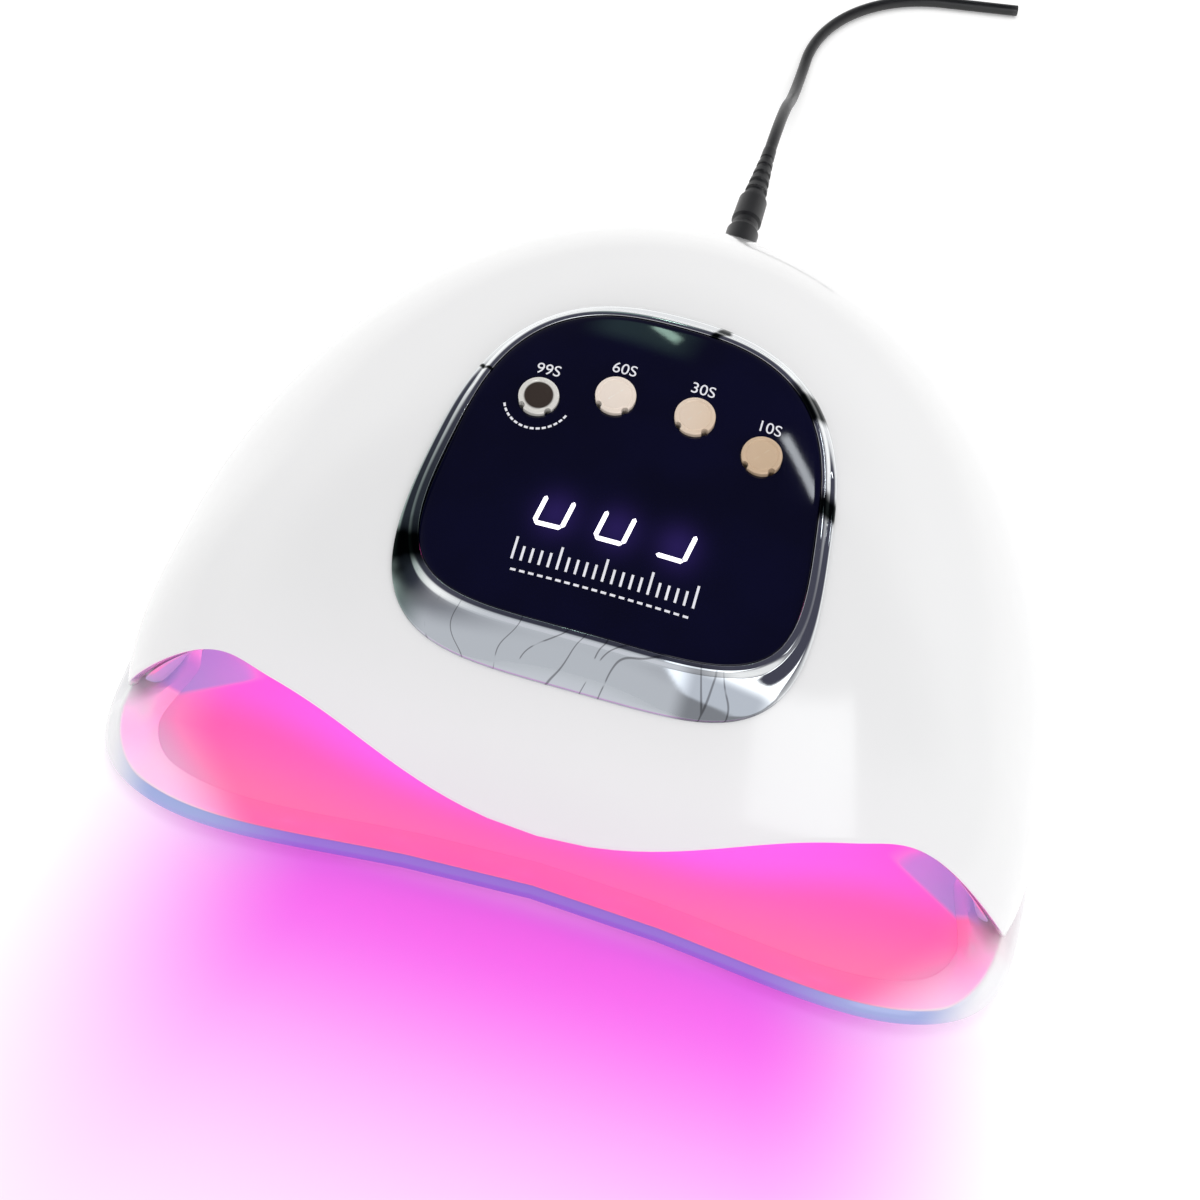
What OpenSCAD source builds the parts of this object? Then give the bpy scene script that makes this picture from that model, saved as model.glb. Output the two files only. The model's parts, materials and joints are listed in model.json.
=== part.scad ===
// Dome-shaped curing lamp with a lift-off tray, a glossy control panel and a plug-in lead.
// The lamp faces -Y. The table is at z = 0. The origin is the middle of the whole outline,
// lead included, so the lamp's own middle sits lamp_y along Y.

/* [Dome] */
// Half of the dome's width
dome_half_w = 113; // [105:1:120]
// Height of the dome above the table
dome_h = 92; // [90:0.5:94]
// Length of the dome in front of its widest line
nose_l = 64; // [62:0.5:66]
// Length of the dome behind its widest line
tail_l = 137; // [134:0.5:139]
// Wall of the dome
shell_t = 2.4; // [2:0.1:2.6]
// Height of the dome's rim at its sides and back
side_z = 8.4; // [8:0.1:9]

/* [Hand opening] */
// Height of the rim at the low point in the middle of the mouth
dip_z = 36; // [33:0.5:38]
// Height of the rim at the two high points of the mouth
lobe_z = 48.5; // [45:0.5:50]
// Height of the chamber's ceiling
ceiling_z = 58; // [56:0.5:59]
// Wall of the chamber's liner
liner_t = 1.6; // [1.2:0.1:1.8]

/* [Control panel] */
// Half of the glass's width
glass_half_w = 40.7; // [40:0.1:41.5]
// Half of the glass's length
glass_half_l = 37.6; // [37:0.1:38.5]
// Rise of the glass's crown over its edge
glass_crown = 4.2; // [3.8:0.1:4.6]
// Forward tilt of the panel in degrees
panel_tilt = 15.3; // [14.5:0.1:16]
// Height of the panel's middle
panel_z = 84.8; // [84:0.1:86]
// Radius of a button's cap
button_r = 4.5; // [4:0.1:4.6]
// Height of a button's cap above the glass around it
button_rise = 1.5; // [1:0.1:2]

/* [Tray] */
// Half of the tray's width
tray_half_w = 113.6; // [113.2:0.1:114.5]
// Height of the tray's rim at its sides and back
tray_rim_z = 8.2; // [8:0.05:8.3]
// Height of the tray's front lip
lip_z = 7.2; // [6.4:0.1:8]
// Radius of a rubber foot
foot_r = 7; // [5:0.5:8]
// Height of a rubber foot below the tray
foot_h = 2; // [1.5:0.1:2.4]

/* [Power lead] */
// Height of the socket in the back of the dome
jack_z = 24; // [23:0.5:25]
// Radius of the round lead
lead_r = 1.8; // [1.5:0.1:2.2]
// Radius of the lead's bend on the table
lead_bend_r = 50; // [40:1:60]
// Angle through which the lead turns on the table
lead_turn_a = 78; // [45:1:90]

/* [Hidden] */

// Dome surface: two half superellipses in plan, a superellipse in height.
nose_e = 3.47;
tail_e = 2.04;
crown_e = 2.02;
mid_y = -44;
apex_y = 4.3;
around = 72;
rows = 9;
// Where the rim's high point and its foot sit, as shares of the dome's half width
lobe_s = 0.68;
cheek_s = 0.97;
cheek_e = 4.33;

// Clearances between pieces that touch or slide
fit_gap = 0.1;
slip_gap = 0.4;

// Chamber liner
liner_rows = 8;
liner_top_inset = 15;

// Frame and its fasteners
frame_w = 9;
frame_t = 3;
frame_a0 = -16;
frame_gap = 0.7;
boss_inset = 7.2;
boss_r = 3;
boss_top = 20;
screw_angles = [10, 50, 130, 170];
screw_r = 1.45;
screw_l = 10.4;
screw_head_r = 2.8;
screw_head_h = 1.5;
magnet_angles = [0, 32, 148, 180];
magnet_r = 3.2;
magnet_h = 2;

// Panel
panel_y = -33.4;
glass_front_e = 4;
glass_back_e = 2.86;
glass_taper = 0.11;
glass_t = 2.2;
glass_edge_z = -4;
glass_r = (glass_half_w * glass_half_w + glass_crown * glass_crown) / (2 * glass_crown);
bezel_half_w = 44.5;
bezel_half_l = 43.1;
bezel_y = -34.4;
bezel_front_e = 4.1;
bezel_seat = 2.2;
bezel_foot = 0.9;
bezel_gap = 0.35;
bezel_skirt_z = -7;
bezel_skirt = 3.4;
carrier_t = 2;
carrier_z = glass_edge_z - carrier_t;
board_z = -12;
board_t = 1.6;
board_w = 72;
board_l = 46;
board_y = 1;
standoffs = [[-31, -18], [31, -18], [-31, 20], [31, 20]];
buttons = [[-25.2, 11.2], [-8.97, 15.6], [8.97, 15.6], [25.2, 11.2]];
button_foot_z = -1.6;
stem_r = 1.8;
switch_gap = 0.65;
switch_top_z = -7;
stem_z = switch_top_z + switch_gap;
display_y = -10.8;
display_w = 44;
display_l = 19;
digit_pitch = 13.5;
digit_w = 7.65;
digit_h = 14.4;
digit_slant = 10;
segment_w = 1.5;
display_top_z = -1.2;

// Light sources: place between rim (0) and apex (1), first angle, step and last angle
led_rows = [[0.86, 45, 90, 315], [0.62, 22.5, 45, 337.5], [0.40, -9, 22, 189], [0.20, -5, 31.6, 185]];
led_places = [for (r = led_rows, a = [r[1] : r[2] : r[3]]) [a, r[0]]];
led_r = 2.2;
led_board_r = 4.6;
led_board_t = 1;
led_board_z = 0.7;
led_sink = 0.2;
wire_r = 0.6;
wire_z = led_board_z + led_board_t + 1.1;
sensor_places = [[-106, 0.15], [-74, 0.15]];

// Socket, plug and lead
jack_r = 5.4;
jack_face_y = 92.4;
jack_l = 12;
inlet_r = 7.6;
inlet_face_y = jack_face_y - 0.2;
inlet_back_y = 83.6;
nut_t = 2.8;
socket_r = 2.82;
socket_l = 10;
pin_r = 1;
power_wire_r = 0.9;
power_wire_x = 2.4;
plug_r = 4.7;
plug_y = jack_face_y + 0.5;
plug_l = 34;
barrel_l = 9.5;
relief_l = 23.5;
lead_start_y = plug_y + plug_l + relief_l + 0.2;
lead_drop = jack_z - lead_r;
lead_run = 74;
lead_dip_a = 2 * atan(lead_drop / lead_run);
lead_dip_r = lead_run / 2 / sin(lead_dip_a);
lead_end_l = 26;
lead_far_y = lead_start_y + lead_run + (lead_bend_r + lead_r) * sin(lead_turn_a)
    + lead_end_l * cos(lead_turn_a);

// Tray
tray_l = 61.5;
tray_e = 5.9;
tray_sag = 6.9;
sag_half_w = 90.7;
tray_floor_z = 4.6;
lip_w = 5.5;
cheek_rise = 3.4;
feet = [[-78, -74], [78, -74], [-66, 48], [66, 48]];

lamp_y = -(lead_far_y + min([for (a = [0 : 5 : 355]) tray_plan(a)[1]])) / 2;

// Signed power, for superellipses
function spow(v, e) = sign(v) * pow(abs(v), e);

// Smooth step from 0 at a to 1 at b
function ease(v, a, b) = let (t = min(1, max(0, (v - a) / (b - a)))) t * t * (3 - 2 * t);

// Plan outline of the dome at angle a, grown by g
function dome_plan(a, g = 0) =
    let (e = 2 / (sin(a) < 0 ? nose_e : tail_e), l = sin(a) < 0 ? nose_l : tail_l)
    [(dome_half_w + g) * spow(cos(a), e), mid_y + (l + g) * spow(sin(a), e)];

// Height of the dome's rim at angle a: a wave over the mouth, level elsewhere
function rim_z(a) =
    let (s = sin(a) < 0 ? pow(abs(cos(a)), 2 / nose_e) : 1)
    s < lobe_s ? dip_z + (lobe_z - dip_z) * pow(sin(90 * s / lobe_s), 2)
    : s < cheek_s ? side_z + (lobe_z - side_z) * (1 - pow((s - lobe_s) / (cheek_s - lobe_s), cheek_e))
    : side_z;

// Point of the dome at angle a and elevation angle v, with its size grown by g
function dome_at(a, v, g) =
    let (k = pow(cos(v), 2 / crown_e), p = dome_plan(a, g))
    [p[0] * k, apex_y + (p[1] - apex_y) * k, (dome_h + g) * pow(sin(v), 2 / crown_e)];

// Elevation angle at which the dome reaches height z
function dome_v(z, g) = asin(pow(z / (dome_h + g), crown_e / 2));

// Plan scale of the dome at height z
function dome_k(z) = pow(1 - pow(z / dome_h, crown_e), 1 / crown_e);

// One ring of dome points, a fraction q of the way from rim to apex
function dome_ring(q, g) =
    [for (i = [0 : around - 1])
        let (a = i * 360 / around, v0 = dome_v(rim_z(a), g))
        dome_at(a, v0 + (90 - v0) * q, g)];

// How far plan point p lies out of the dome's plan scaled by k, below 1 when inside
function plan_test(p, k) =
    let (x = abs(p[0]) / k, y = apex_y + (p[1] - apex_y) / k, e = y < mid_y ? nose_e : tail_e,
         l = y < mid_y ? nose_l : tail_l)
    pow(x / dome_half_w, e) + pow(abs(y - mid_y) / l, e);

// Height of the dome above plan point p, by halving
function dome_z(p, lo = 0.01, hi = 1.2, n = 22) =
    let (k = (lo + hi) / 2)
    n == 0 ? dome_h * pow(max(0, 1 - pow(k, crown_e)), 1 / crown_e)
    : plan_test(p, k) > 1 ? dome_z(p, k, hi, n - 1) : dome_z(p, lo, k, n - 1);

// Gap between the dome's plan and the liner at angle a, q of the way up
function liner_inset(a, q) =
    let (side = sin(a) < 0 ? ease(pow(abs(cos(a)), 2 / nose_e), cheek_s - 0.02, 0.998) : 1,
         rim = shell_t + slip_gap + (frame_w - slip_gap) * side)
    rim + (liner_top_inset - rim) * (1 - pow(1 - q, 2));

// Point of the liner's outer face, moved in by d
function liner_at(a, q, d) =
    let (zr = rim_z(a), h = dome_h - shell_t, v0 = dome_v(zr, -shell_t), v = v0 + (90 - v0) * q,
         k = pow(cos(v), 2 / crown_e), z = h * pow(sin(v), 2 / crown_e),
         p = dome_plan(a, -liner_inset(a, q) - d))
    [p[0] * k, apex_y + (p[1] - apex_y) * k,
     zr + (z - zr) * (ceiling_z + liner_t - d - zr) / (h - zr)];

function liner_ring(q, d) =
    [for (i = [0 : around - 1]) liner_at(i * 360 / around, q, d)];

// Unit normal of the liner, pointing away from the chamber
function liner_normal(a, q) =
    let (p = liner_at(a, q, 0), u = liner_at(a + 1, q, 0) - p, w = liner_at(a, q + 0.01, 0) - p,
         n = cross(u, w))
    n / norm(n);

// Point halfway between the liner and the dome
function loft_at(a, q) =
    let (v0 = dome_v(rim_z(a), -shell_t))
    (liner_at(a, q, 0) + dome_at(a, v0 + (90 - v0) * q, -shell_t)) / 2;

// Outline of the glass in the panel's own plane, grown by g
function glass_at(a, g = 0) =
    let (e = 2 / (sin(a) < 0 ? glass_front_e : glass_back_e), v = spow(sin(a), e))
    [(glass_half_w + g) * spow(cos(a), e) * (1 - glass_taper * v), (glass_half_l + g) * v];

// Outline of the bezel's foot on the dome, in plan
function bezel_at(a, g = 0) =
    let (e = 2 / (sin(a) < 0 ? bezel_front_e : glass_back_e), v = spow(sin(a), e))
    [(bezel_half_w + g) * spow(cos(a), e) * (1 - glass_taper * v),
     bezel_y + (bezel_half_l + g) * v];

// Height of the glass's crowned face over the panel plane
function crown_z(p) = sqrt(glass_r * glass_r - p[0] * p[0] - p[1] * p[1]) - glass_r + glass_crown;

// A panel point in the lamp's frame
function on_panel(p) =
    [p[0], panel_y + p[1] * cos(panel_tilt) - p[2] * sin(panel_tilt),
     panel_z + p[1] * sin(panel_tilt) + p[2] * cos(panel_tilt)];

// Outline of the tray: the dome's plan behind, a broad lip with a slight hollow in front
function tray_plan(a, g = 0) =
    sin(a) >= 0 ? dome_plan(a, tray_half_w - dome_half_w + g)
    : let (x = (tray_half_w + g) * spow(cos(a), 2 / tray_e),
           y = mid_y + (tray_l + g) * spow(sin(a), 2 / tray_e))
      [x, y + tray_sag * pow(max(0, 1 - pow(x / sag_half_w, 2)), 2)];

// Share of the front corner at angle a: 0 at the side and in the middle, 1 at the cheek
function cheek(a) = sin(a) >= 0 ? 0 : ease(abs(sin(a)), 0.16, 0.36) * (1 - ease(abs(sin(a)), 0.45, 0.75));

// Height of the tray's rim at angle a
function tray_top(a) =
    let (front = sin(a) < 0 ? ease(abs(sin(a)), 0.45, 0.75) : 0)
    tray_rim_z + cheek_rise * cheek(a) + (lip_z - tray_rim_z) * front;

// Lean of the tray's wall at angle a, so that its top meets the dome
function tray_lean(a) =
    sin(a) >= 0 ? 1.2 : 1.2 + 2.4 * ease(abs(sin(a)), 0, 0.12) * (1 - ease(abs(sin(a)), 0.3, 0.75));

// Width of the tray's rim at angle a
function tray_rim_w(a) = lip_w + 6.5 * (sin(a) < 0 ? 1 - ease(abs(sin(a)), 0.05, 0.45) : 1);

function tray_ring(g_of, z_of) =
    [for (i = [0 : around - 1])
        let (a = i * 360 / around, p = tray_plan(a, -g_of[i]))
        [p[0], p[1], z_of[i]]];

angles = [for (i = [0 : around - 1]) i * 360 / around];

// Angles round the panel, closer together in the middle of its sides
panel_angles = [for (a = angles) a - 7 * sin(4 * a)];

// Ring of the bezel's upper edge: grown by g from the glass, raised over the glass and the dome
function bezel_ring(g, over_glass, over_dome) =
    [for (a = panel_angles)
        let (p = glass_at(a, g), w = on_panel([p[0], p[1], crown_z(p) + over_glass]))
        [w[0], w[1], max(w[2], dome_z(w) + over_dome)]];

// Ring of the bezel's foot, grown by g and raised over the dome
function foot_ring(g, over_dome) =
    [for (a = panel_angles) let (p = bezel_at(a, g)) [p[0], p[1], dome_z(p) + over_dome]];

// Places a piece of the lamp in the object's frame
module in_lamp() {
    translate([0, lamp_y, 0])
        children();
}

// Places a piece on the panel
module in_panel() {
    in_lamp()
        translate([0, panel_y, panel_z])
            rotate([panel_tilt, 0, 0])
                children();
}

// Turns +Z to direction n
module face(n) {
    rotate([0, acos(n[2]), atan2(n[1], n[0])])
        children();
}

// Indexes of the triangles between ring i and ring k
function strip(i, k, n) =
    [for (j = [0 : n - 1])
        let (m = (j + 1) % n)
        each [[i * n + j, i * n + m, k * n + m], [i * n + j, k * n + m, k * n + j]]];

// Solid between a first point, a stack of rings and a last point
module closed_skin(rings, first, last) {
    n = len(rings[0]);
    top = len(rings) * n;
    low = (len(rings) - 1) * n;
    polyhedron(
        points = concat([for (r = rings) each r], [first, last]),
        faces = concat(
            [for (j = [0 : n - 1]) [top, (j + 1) % n, j]],
            [for (i = [0 : len(rings) - 2]) each strip(i, i + 1, n)],
            [for (j = [0 : n - 1]) [low + j, low + (j + 1) % n, top + 1]]));
}

// Ring-shaped solid whose section runs through the rings and back to the first
module ring_skin(rings) {
    n = len(rings[0]);
    polyhedron(
        points = [for (r = rings) each r],
        faces = [for (i = [0 : len(rings) - 1]) each strip(i, (i + 1) % len(rings), n)]);
}

// Ring of n points around p, across direction d; side is a direction that d never takes
function wire_ring(p, d, r, side, n) =
    let (u = cross(side, d) / norm(cross(side, d)), v = cross(u, d))
    [for (i = [0 : n - 1]) p + r * (cos(i * 360 / n) * u + sin(i * 360 / n) * v)];

// Direction of a path of points at point i
function along(list, i) =
    let (d = list[min(i + 1, len(list) - 1)] - list[max(i - 1, 0)])
    d / norm(d);

// Wire through a list of points
module wire(points, r, side, n = 8) {
    closed_skin(
        [for (i = [0 : len(points) - 1]) wire_ring(points[i], along(points, i), r, side, n)],
        points[0],
        points[len(points) - 1]);
}

// Point in the middle of the frame at angle a
function frame_mid(a) = dome_plan(a, -boss_inset);

module at_angles(list) {
    for (a = list)
        translate(frame_mid(a))
            children();
}

// ---- Housing ----

module dome_wall() {
    closed_skin(
        concat(
            [for (i = [rows : -1 : 0]) dome_ring(i / (rows + 1), 0)],
            [for (i = [0 : rows]) dome_ring(i / (rows + 1), -shell_t)]),
        [0, apex_y, dome_h],
        [0, apex_y, dome_h - shell_t]);
}

module top_shell() {
    color("white")
        in_lamp()
            difference() {
                union() {
                    dome_wall();
                    at_angles(screw_angles)
                        translate([0, 0, side_z + frame_t])
                            cylinder(r = boss_r, h = boss_top - side_z - frame_t, $fn = 48);
                    translate([0, inlet_back_y, jack_z])
                        rotate([-90, 0, 0])
                            cylinder(r = inlet_r, h = inlet_face_y - inlet_back_y, $fn = 64);
                }
                at_angles(screw_angles)
                    translate([0, 0, side_z])
                        cylinder(r = screw_r + 0.05, h = 11, $fn = 32);
                translate([0, inlet_back_y - 3, jack_z])
                    rotate([-90, 0, 0])
                        cylinder(r = jack_r + fit_gap, h = 20, $fn = 64);
                translate([0, 0, 40])
                    linear_extrude(60)
                        polygon([for (a = panel_angles) bezel_at(a, -bezel_seat + 0.2)]);
            }
}

module inner_liner() {
    color("whitesmoke")
        in_lamp()
            difference() {
                closed_skin(
                    concat(
                        [for (i = [liner_rows : -1 : 0]) liner_ring(i / (liner_rows + 1), 0)],
                        [for (i = [0 : liner_rows]) liner_ring(i / (liner_rows + 1), liner_t)]),
                    [0, apex_y, ceiling_z + liner_t],
                    [0, apex_y, ceiling_z]);
                for (l = concat(led_places, sensor_places))
                    translate(liner_at(l[0], l[1], 0))
                        face(liner_normal(l[0], l[1]))
                            translate([0, 0, -4])
                                cylinder(r = led_r + 0.2, h = 6, $fn = 32);
            }
}

module bottom_frame() {
    k = dome_k(side_z + frame_t);
    outer = [for (a = [frame_a0 : 4 : 180 - frame_a0])
        dome_plan(a, -shell_t - frame_gap) * k + [0, apex_y * (1 - k)]];
    inner = [for (a = [180 - frame_a0 : -4 : frame_a0]) dome_plan(a, fit_gap - liner_inset(a, 0))];
    color("white")
        in_lamp()
            difference() {
                translate([0, 0, side_z])
                    linear_extrude(frame_t)
                        polygon(concat(outer, inner));
                at_angles(screw_angles)
                    translate([0, 0, side_z]) {
                        translate([0, 0, -1])
                            cylinder(r = screw_r + 0.15, h = frame_t + 2, $fn = 32);
                        translate([0, 0, -1])
                            cylinder(r = screw_head_r + 0.1, h = screw_head_h + 1.1, $fn = 48);
                    }
                at_angles(magnet_angles)
                    translate([0, 0, side_z - 1])
                        cylinder(r = magnet_r + 0.05, h = magnet_h + 1.05, $fn = 48);
            }
}

module shell_screws() {
    color("silver")
        in_lamp()
            at_angles(screw_angles)
                translate([0, 0, side_z])
                    difference() {
                        union() {
                            translate([0, 0, 0.1])
                                cylinder(r = screw_head_r, h = screw_head_h - 0.1, $fn = 48);
                            cylinder(r = screw_r, h = screw_l, $fn = 32);
                        }
                        for (turn = [0, 90])
                            rotate([0, 0, turn])
                                translate([-1.6, -0.35, -1])
                                    cube([3.2, 0.7, 1.9]);
                    }
}

module frame_magnets() {
    color("gray")
        in_lamp()
            at_angles(magnet_angles)
                translate([0, 0, side_z])
                    cylinder(r = magnet_r, h = magnet_h, $fn = 48);
}

// ---- Control panel ----

module chrome_bezel() {
    color("lightgray")
        in_lamp()
            ring_skin([
                [for (a = panel_angles) let (p = glass_at(a, fit_gap)) on_panel([p[0], p[1], bezel_skirt_z])],
                bezel_ring(fit_gap, 0.35, 1.3),
                bezel_ring(1.2, 0.5, 1.5),
                bezel_ring(2.1, -0.5, 1.2),
                foot_ring(0, bezel_foot),
                foot_ring(0, bezel_gap),
                foot_ring(-bezel_seat, bezel_gap),
                foot_ring(-bezel_seat, bezel_gap - bezel_skirt)]);
}

module glass_prism(g, z0, z1) {
    translate([0, 0, z0])
        linear_extrude(z1 - z0)
            polygon([for (a = panel_angles) glass_at(a, g)]);
}

module glass_ball(d) {
    translate([0, 0, glass_crown - glass_r])
        sphere(r = glass_r - d, $fn = 200);
}

module panel_lens() {
    color([0.02, 0.02, 0.1])
        in_panel()
            difference() {
                intersection() {
                    glass_prism(0, glass_edge_z, 10);
                    glass_ball(0);
                }
                intersection() {
                    glass_prism(-glass_t, glass_edge_z - 1, 10);
                    glass_ball(glass_t);
                }
                for (b = buttons)
                    translate([b[0], b[1], glass_edge_z - 1])
                        cylinder(r = button_r + fit_gap, h = 20, $fn = 64);
            }
}

module panel_carrier() {
    color("dimgray")
        in_panel()
            difference() {
                union() {
                    glass_prism(-0.3, carrier_z, glass_edge_z);
                    for (b = buttons)
                        translate([b[0], b[1], carrier_z])
                            cylinder(r = stem_r + 1.6, h = 3.4, $fn = 48);
                    for (s = standoffs)
                        translate([s[0], s[1], board_z])
                            cylinder(r = 2.6, h = carrier_z - board_z + 1, $fn = 48);
                }
                for (b = buttons)
                    translate([b[0], b[1], carrier_z - 1])
                        cylinder(r = stem_r + 0.08, h = 6, $fn = 48);
                for (s = standoffs)
                    translate([s[0], s[1], board_z - 1])
                        cylinder(r = 1.1, h = 6.5, $fn = 32);
                translate([-display_w / 2 - 1, display_y - display_l / 2 - 1, carrier_z - 1])
                    cube([display_w + 2, display_l + 2, 5]);
            }
}

// Push button: a low domed cap on a stem
module button(b) {
    top = crown_z(b) + button_rise;
    edge = 0.7;
    color([0.85, 0.78, 0.7])
        in_panel()
            translate([b[0], b[1], 0]) {
                rotate_extrude($fn = 64)
                    polygon(concat(
                        [[0, button_foot_z], [button_r, button_foot_z], [button_r, top - edge]],
                        [for (t = [15 : 15 : 75])
                            [button_r - edge + edge * cos(t), top - edge + edge * sin(t)]],
                        [[0, top + 0.15]]));
                translate([0, 0, stem_z])
                    cylinder(r = stem_r, h = -stem_z - 1, $fn = 48);
            }
}

module button_99s() {
    button(buttons[0]);
}

module button_60s() {
    button(buttons[1]);
}

module button_30s() {
    button(buttons[2]);
}

module button_10s() {
    button(buttons[3]);
}

module tact_switches() {
    color("silver")
        in_panel()
            for (b = buttons)
                translate([b[0], b[1], board_z]) {
                    translate([-3, -3, 0])
                        cube([6, 6, 3.6]);
                    cylinder(r = 1.7, h = switch_top_z - board_z, $fn = 32);
                }
}

module control_board() {
    color("darkgreen")
        in_panel()
            difference() {
                translate([-board_w / 2, board_y - board_l / 2, board_z - board_t])
                    cube([board_w, board_l, board_t]);
                for (s = standoffs)
                    translate([s[0], s[1], board_z - board_t - 1])
                        cylinder(r = 1.35, h = board_t + 2, $fn = 32);
            }
}

module control_chip() {
    color("black")
        in_panel()
            translate([-20, -14, board_z - board_t - 1.6]) {
                cube([11, 7.6, 1.6]);
                for (i = [0 : 7], side = [-1.4, 7.6])
                    translate([0.8 + i * 1.27, side, 1.3])
                        cube([0.5, 1.4, 0.3]);
            }
}

module power_parts() {
    color("darkslategray")
        in_panel()
            translate([0, 0, board_z - board_t]) {
                for (x = [2, 15])
                    translate([x, -14, -4])
                        cube([8, 8, 4]);
                for (x = [-8, 4, 16])
                    translate([x, 8, -5.5])
                        cylinder(r = 3, h = 5.5, $fn = 48);
            }
}

module display_block() {
    color([0.12, 0.12, 0.14])
        in_panel()
            translate([-display_w / 2, display_y - display_l / 2, board_z])
                cube([display_w, display_l, display_top_z - board_z]);
}

// One bar of a figure, pointed at both ends, lying along X
module segment_bar(l) {
    linear_extrude(0.3)
        polygon([
            [-l / 2, 0], [-l / 2 + segment_w / 2, segment_w / 2], [l / 2 - segment_w / 2, segment_w / 2],
            [l / 2, 0], [l / 2 - segment_w / 2, -segment_w / 2], [-l / 2 + segment_w / 2, -segment_w / 2]]);
}

module digit() {
    half = (digit_h - segment_w) / 2;
    wide = digit_w - segment_w;
    shift = half * tan(digit_slant);
    for (k = [-1, 0, 1])
        translate([k * shift, k * half, 0])
            segment_bar(wide - 0.4);
    for (side = [-1, 1], k = [-1, 1])
        translate([side * wide / 2 + k * shift / 2, k * half / 2, 0])
            rotate([0, 0, 90 - digit_slant])
                segment_bar(half - 0.4);
}

module display_segments() {
    color("white")
        in_panel()
            for (i = [-1, 0, 1])
                translate([i * digit_pitch, display_y, display_top_z])
                    digit();
}

module board_screws() {
    color("silver")
        in_panel()
            for (s = standoffs)
                translate([s[0], s[1], board_z - board_t - 1.5])
                    difference() {
                        union() {
                            cylinder(r = 2.2, h = 1.5, $fn = 48);
                            cylinder(r = 1.05, h = 7.5, $fn = 32);
                        }
                        for (turn = [0, 90])
                            rotate([0, 0, turn])
                                translate([-1.3, -0.3, -1])
                                    cube([2.6, 0.6, 1.8]);
                    }
}

// ---- Light sources ----

// Places a piece at each light source, +Z away from the chamber
module at_leds(places) {
    in_lamp()
        for (l = places)
            translate(liner_at(l[0], l[1], 0))
                face(liner_normal(l[0], l[1]))
                    children();
}

module led_boards() {
    color("mintcream")
        at_leds(led_places)
            translate([0, 0, led_board_z])
                cylinder(r = led_board_r, h = led_board_t, $fn = 32);
}

module led_emitters() {
    color("gold")
        at_leds(led_places)
            translate([0, 0, -liner_t - led_sink])
                cylinder(r = led_r, h = liner_t + led_sink + led_board_z, $fn = 32);
}

module led_domes() {
    color("lavender")
        at_leds(led_places)
            translate([0, 0, -liner_t - led_sink])
                rotate([180, 0, 0])
                    intersection() {
                        sphere(r = led_r, $fn = 32);
                        cylinder(r = led_r + 1, h = led_r + 1, $fn = 32);
                    }
}

// Point over the liner at the height of the wires
function wire_at(a, q) = liner_at(a, q, 0) + wire_z * liner_normal(a, q);

module led_harness() {
    color("gray")
        in_lamp()
            for (r = led_rows)
                wire([for (a = [r[1] : r[2] / 4 : r[3]]) wire_at(a, r[0])], wire_r, [0, 0, 1]);
}

module hand_sensors() {
    color([0.1, 0.05, 0.1])
        at_leds(sensor_places)
            translate([0, 0, -liner_t - 0.6]) {
                cylinder(r = led_r, h = liner_t + 3, $fn = 32);
                intersection() {
                    sphere(r = led_r, $fn = 32);
                    translate([0, 0, -3])
                        cylinder(r = 3, h = 3, $fn = 32);
                }
            }
}

module sensor_leads() {
    color("gray")
        in_lamp()
            for (l = sensor_places)
                wire([
                    liner_at(l[0], l[1], 0) + 3.1 * liner_normal(l[0], l[1]),
                    loft_at(l[0], 0.3),
                    loft_at(l[0], 0.42)], wire_r, [1, 0, 0]);
}

// ---- Power inlet ----

module along_y(y, z) {
    in_lamp()
        translate([0, y, z])
            rotate([-90, 0, 0])
                children();
}

module dc_jack() {
    color("black")
        along_y(jack_face_y - jack_l, jack_z)
            difference() {
                cylinder(r = jack_r, h = jack_l, $fn = 64);
                translate([0, 0, jack_l - socket_l])
                    cylinder(r = socket_r, h = socket_l + 1, $fn = 48);
            }
}

module dc_jack_pin() {
    color("gold")
        along_y(jack_face_y - socket_l, jack_z)
            cylinder(r = pin_r, h = socket_l - 1, $fn = 32);
}

module dc_jack_nut() {
    color("silver")
        along_y(inlet_back_y - nut_t, jack_z)
            difference() {
                cylinder(r = inlet_r, h = nut_t, $fn = 6);
                translate([0, 0, -1])
                    cylinder(r = jack_r + 0.02, h = nut_t + 2, $fn = 64);
            }
}

module power_leads() {
    color("firebrick")
        in_lamp()
            for (side = [-1, 1])
                wire(concat(
                    [[side * power_wire_x, jack_face_y - jack_l - 1, jack_z]],
                    [for (q = [0.25 : 0.15 : 0.7])
                        let (p = loft_at(90, q)) [side * power_wire_x, p[1], p[2]]]),
                    power_wire_r, [1, 0, 0]);
}

module dc_plug() {
    color([0.06, 0.06, 0.06])
        along_y(plug_y, jack_z)
            difference() {
                rotate_extrude($fn = 64)
                    polygon([
                        [0, 0], [plug_r - 0.5, 0], [plug_r, 0.6], [plug_r, 20], [plug_r - 0.9, 22],
                        [plug_r - 0.9, 24], [plug_r - 0.3, 25], [plug_r - 0.5, plug_l], [0, plug_l]]);
                for (i = [0 : 4])
                    translate([0, 0, 4 + i * 2.6])
                        for (side = [-1, 1])
                            translate([side * (plug_r + 0.6) - 1, -4, 0])
                                cube([2, 8, 1.1]);
            }
}

module dc_plug_barrel() {
    color("silver")
        along_y(plug_y - barrel_l, jack_z)
            difference() {
                cylinder(r = socket_r - 0.07, h = barrel_l, $fn = 48);
                translate([0, 0, -1])
                    cylinder(r = pin_r + 0.08, h = barrel_l + 0.5, $fn = 32);
            }
}

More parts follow.
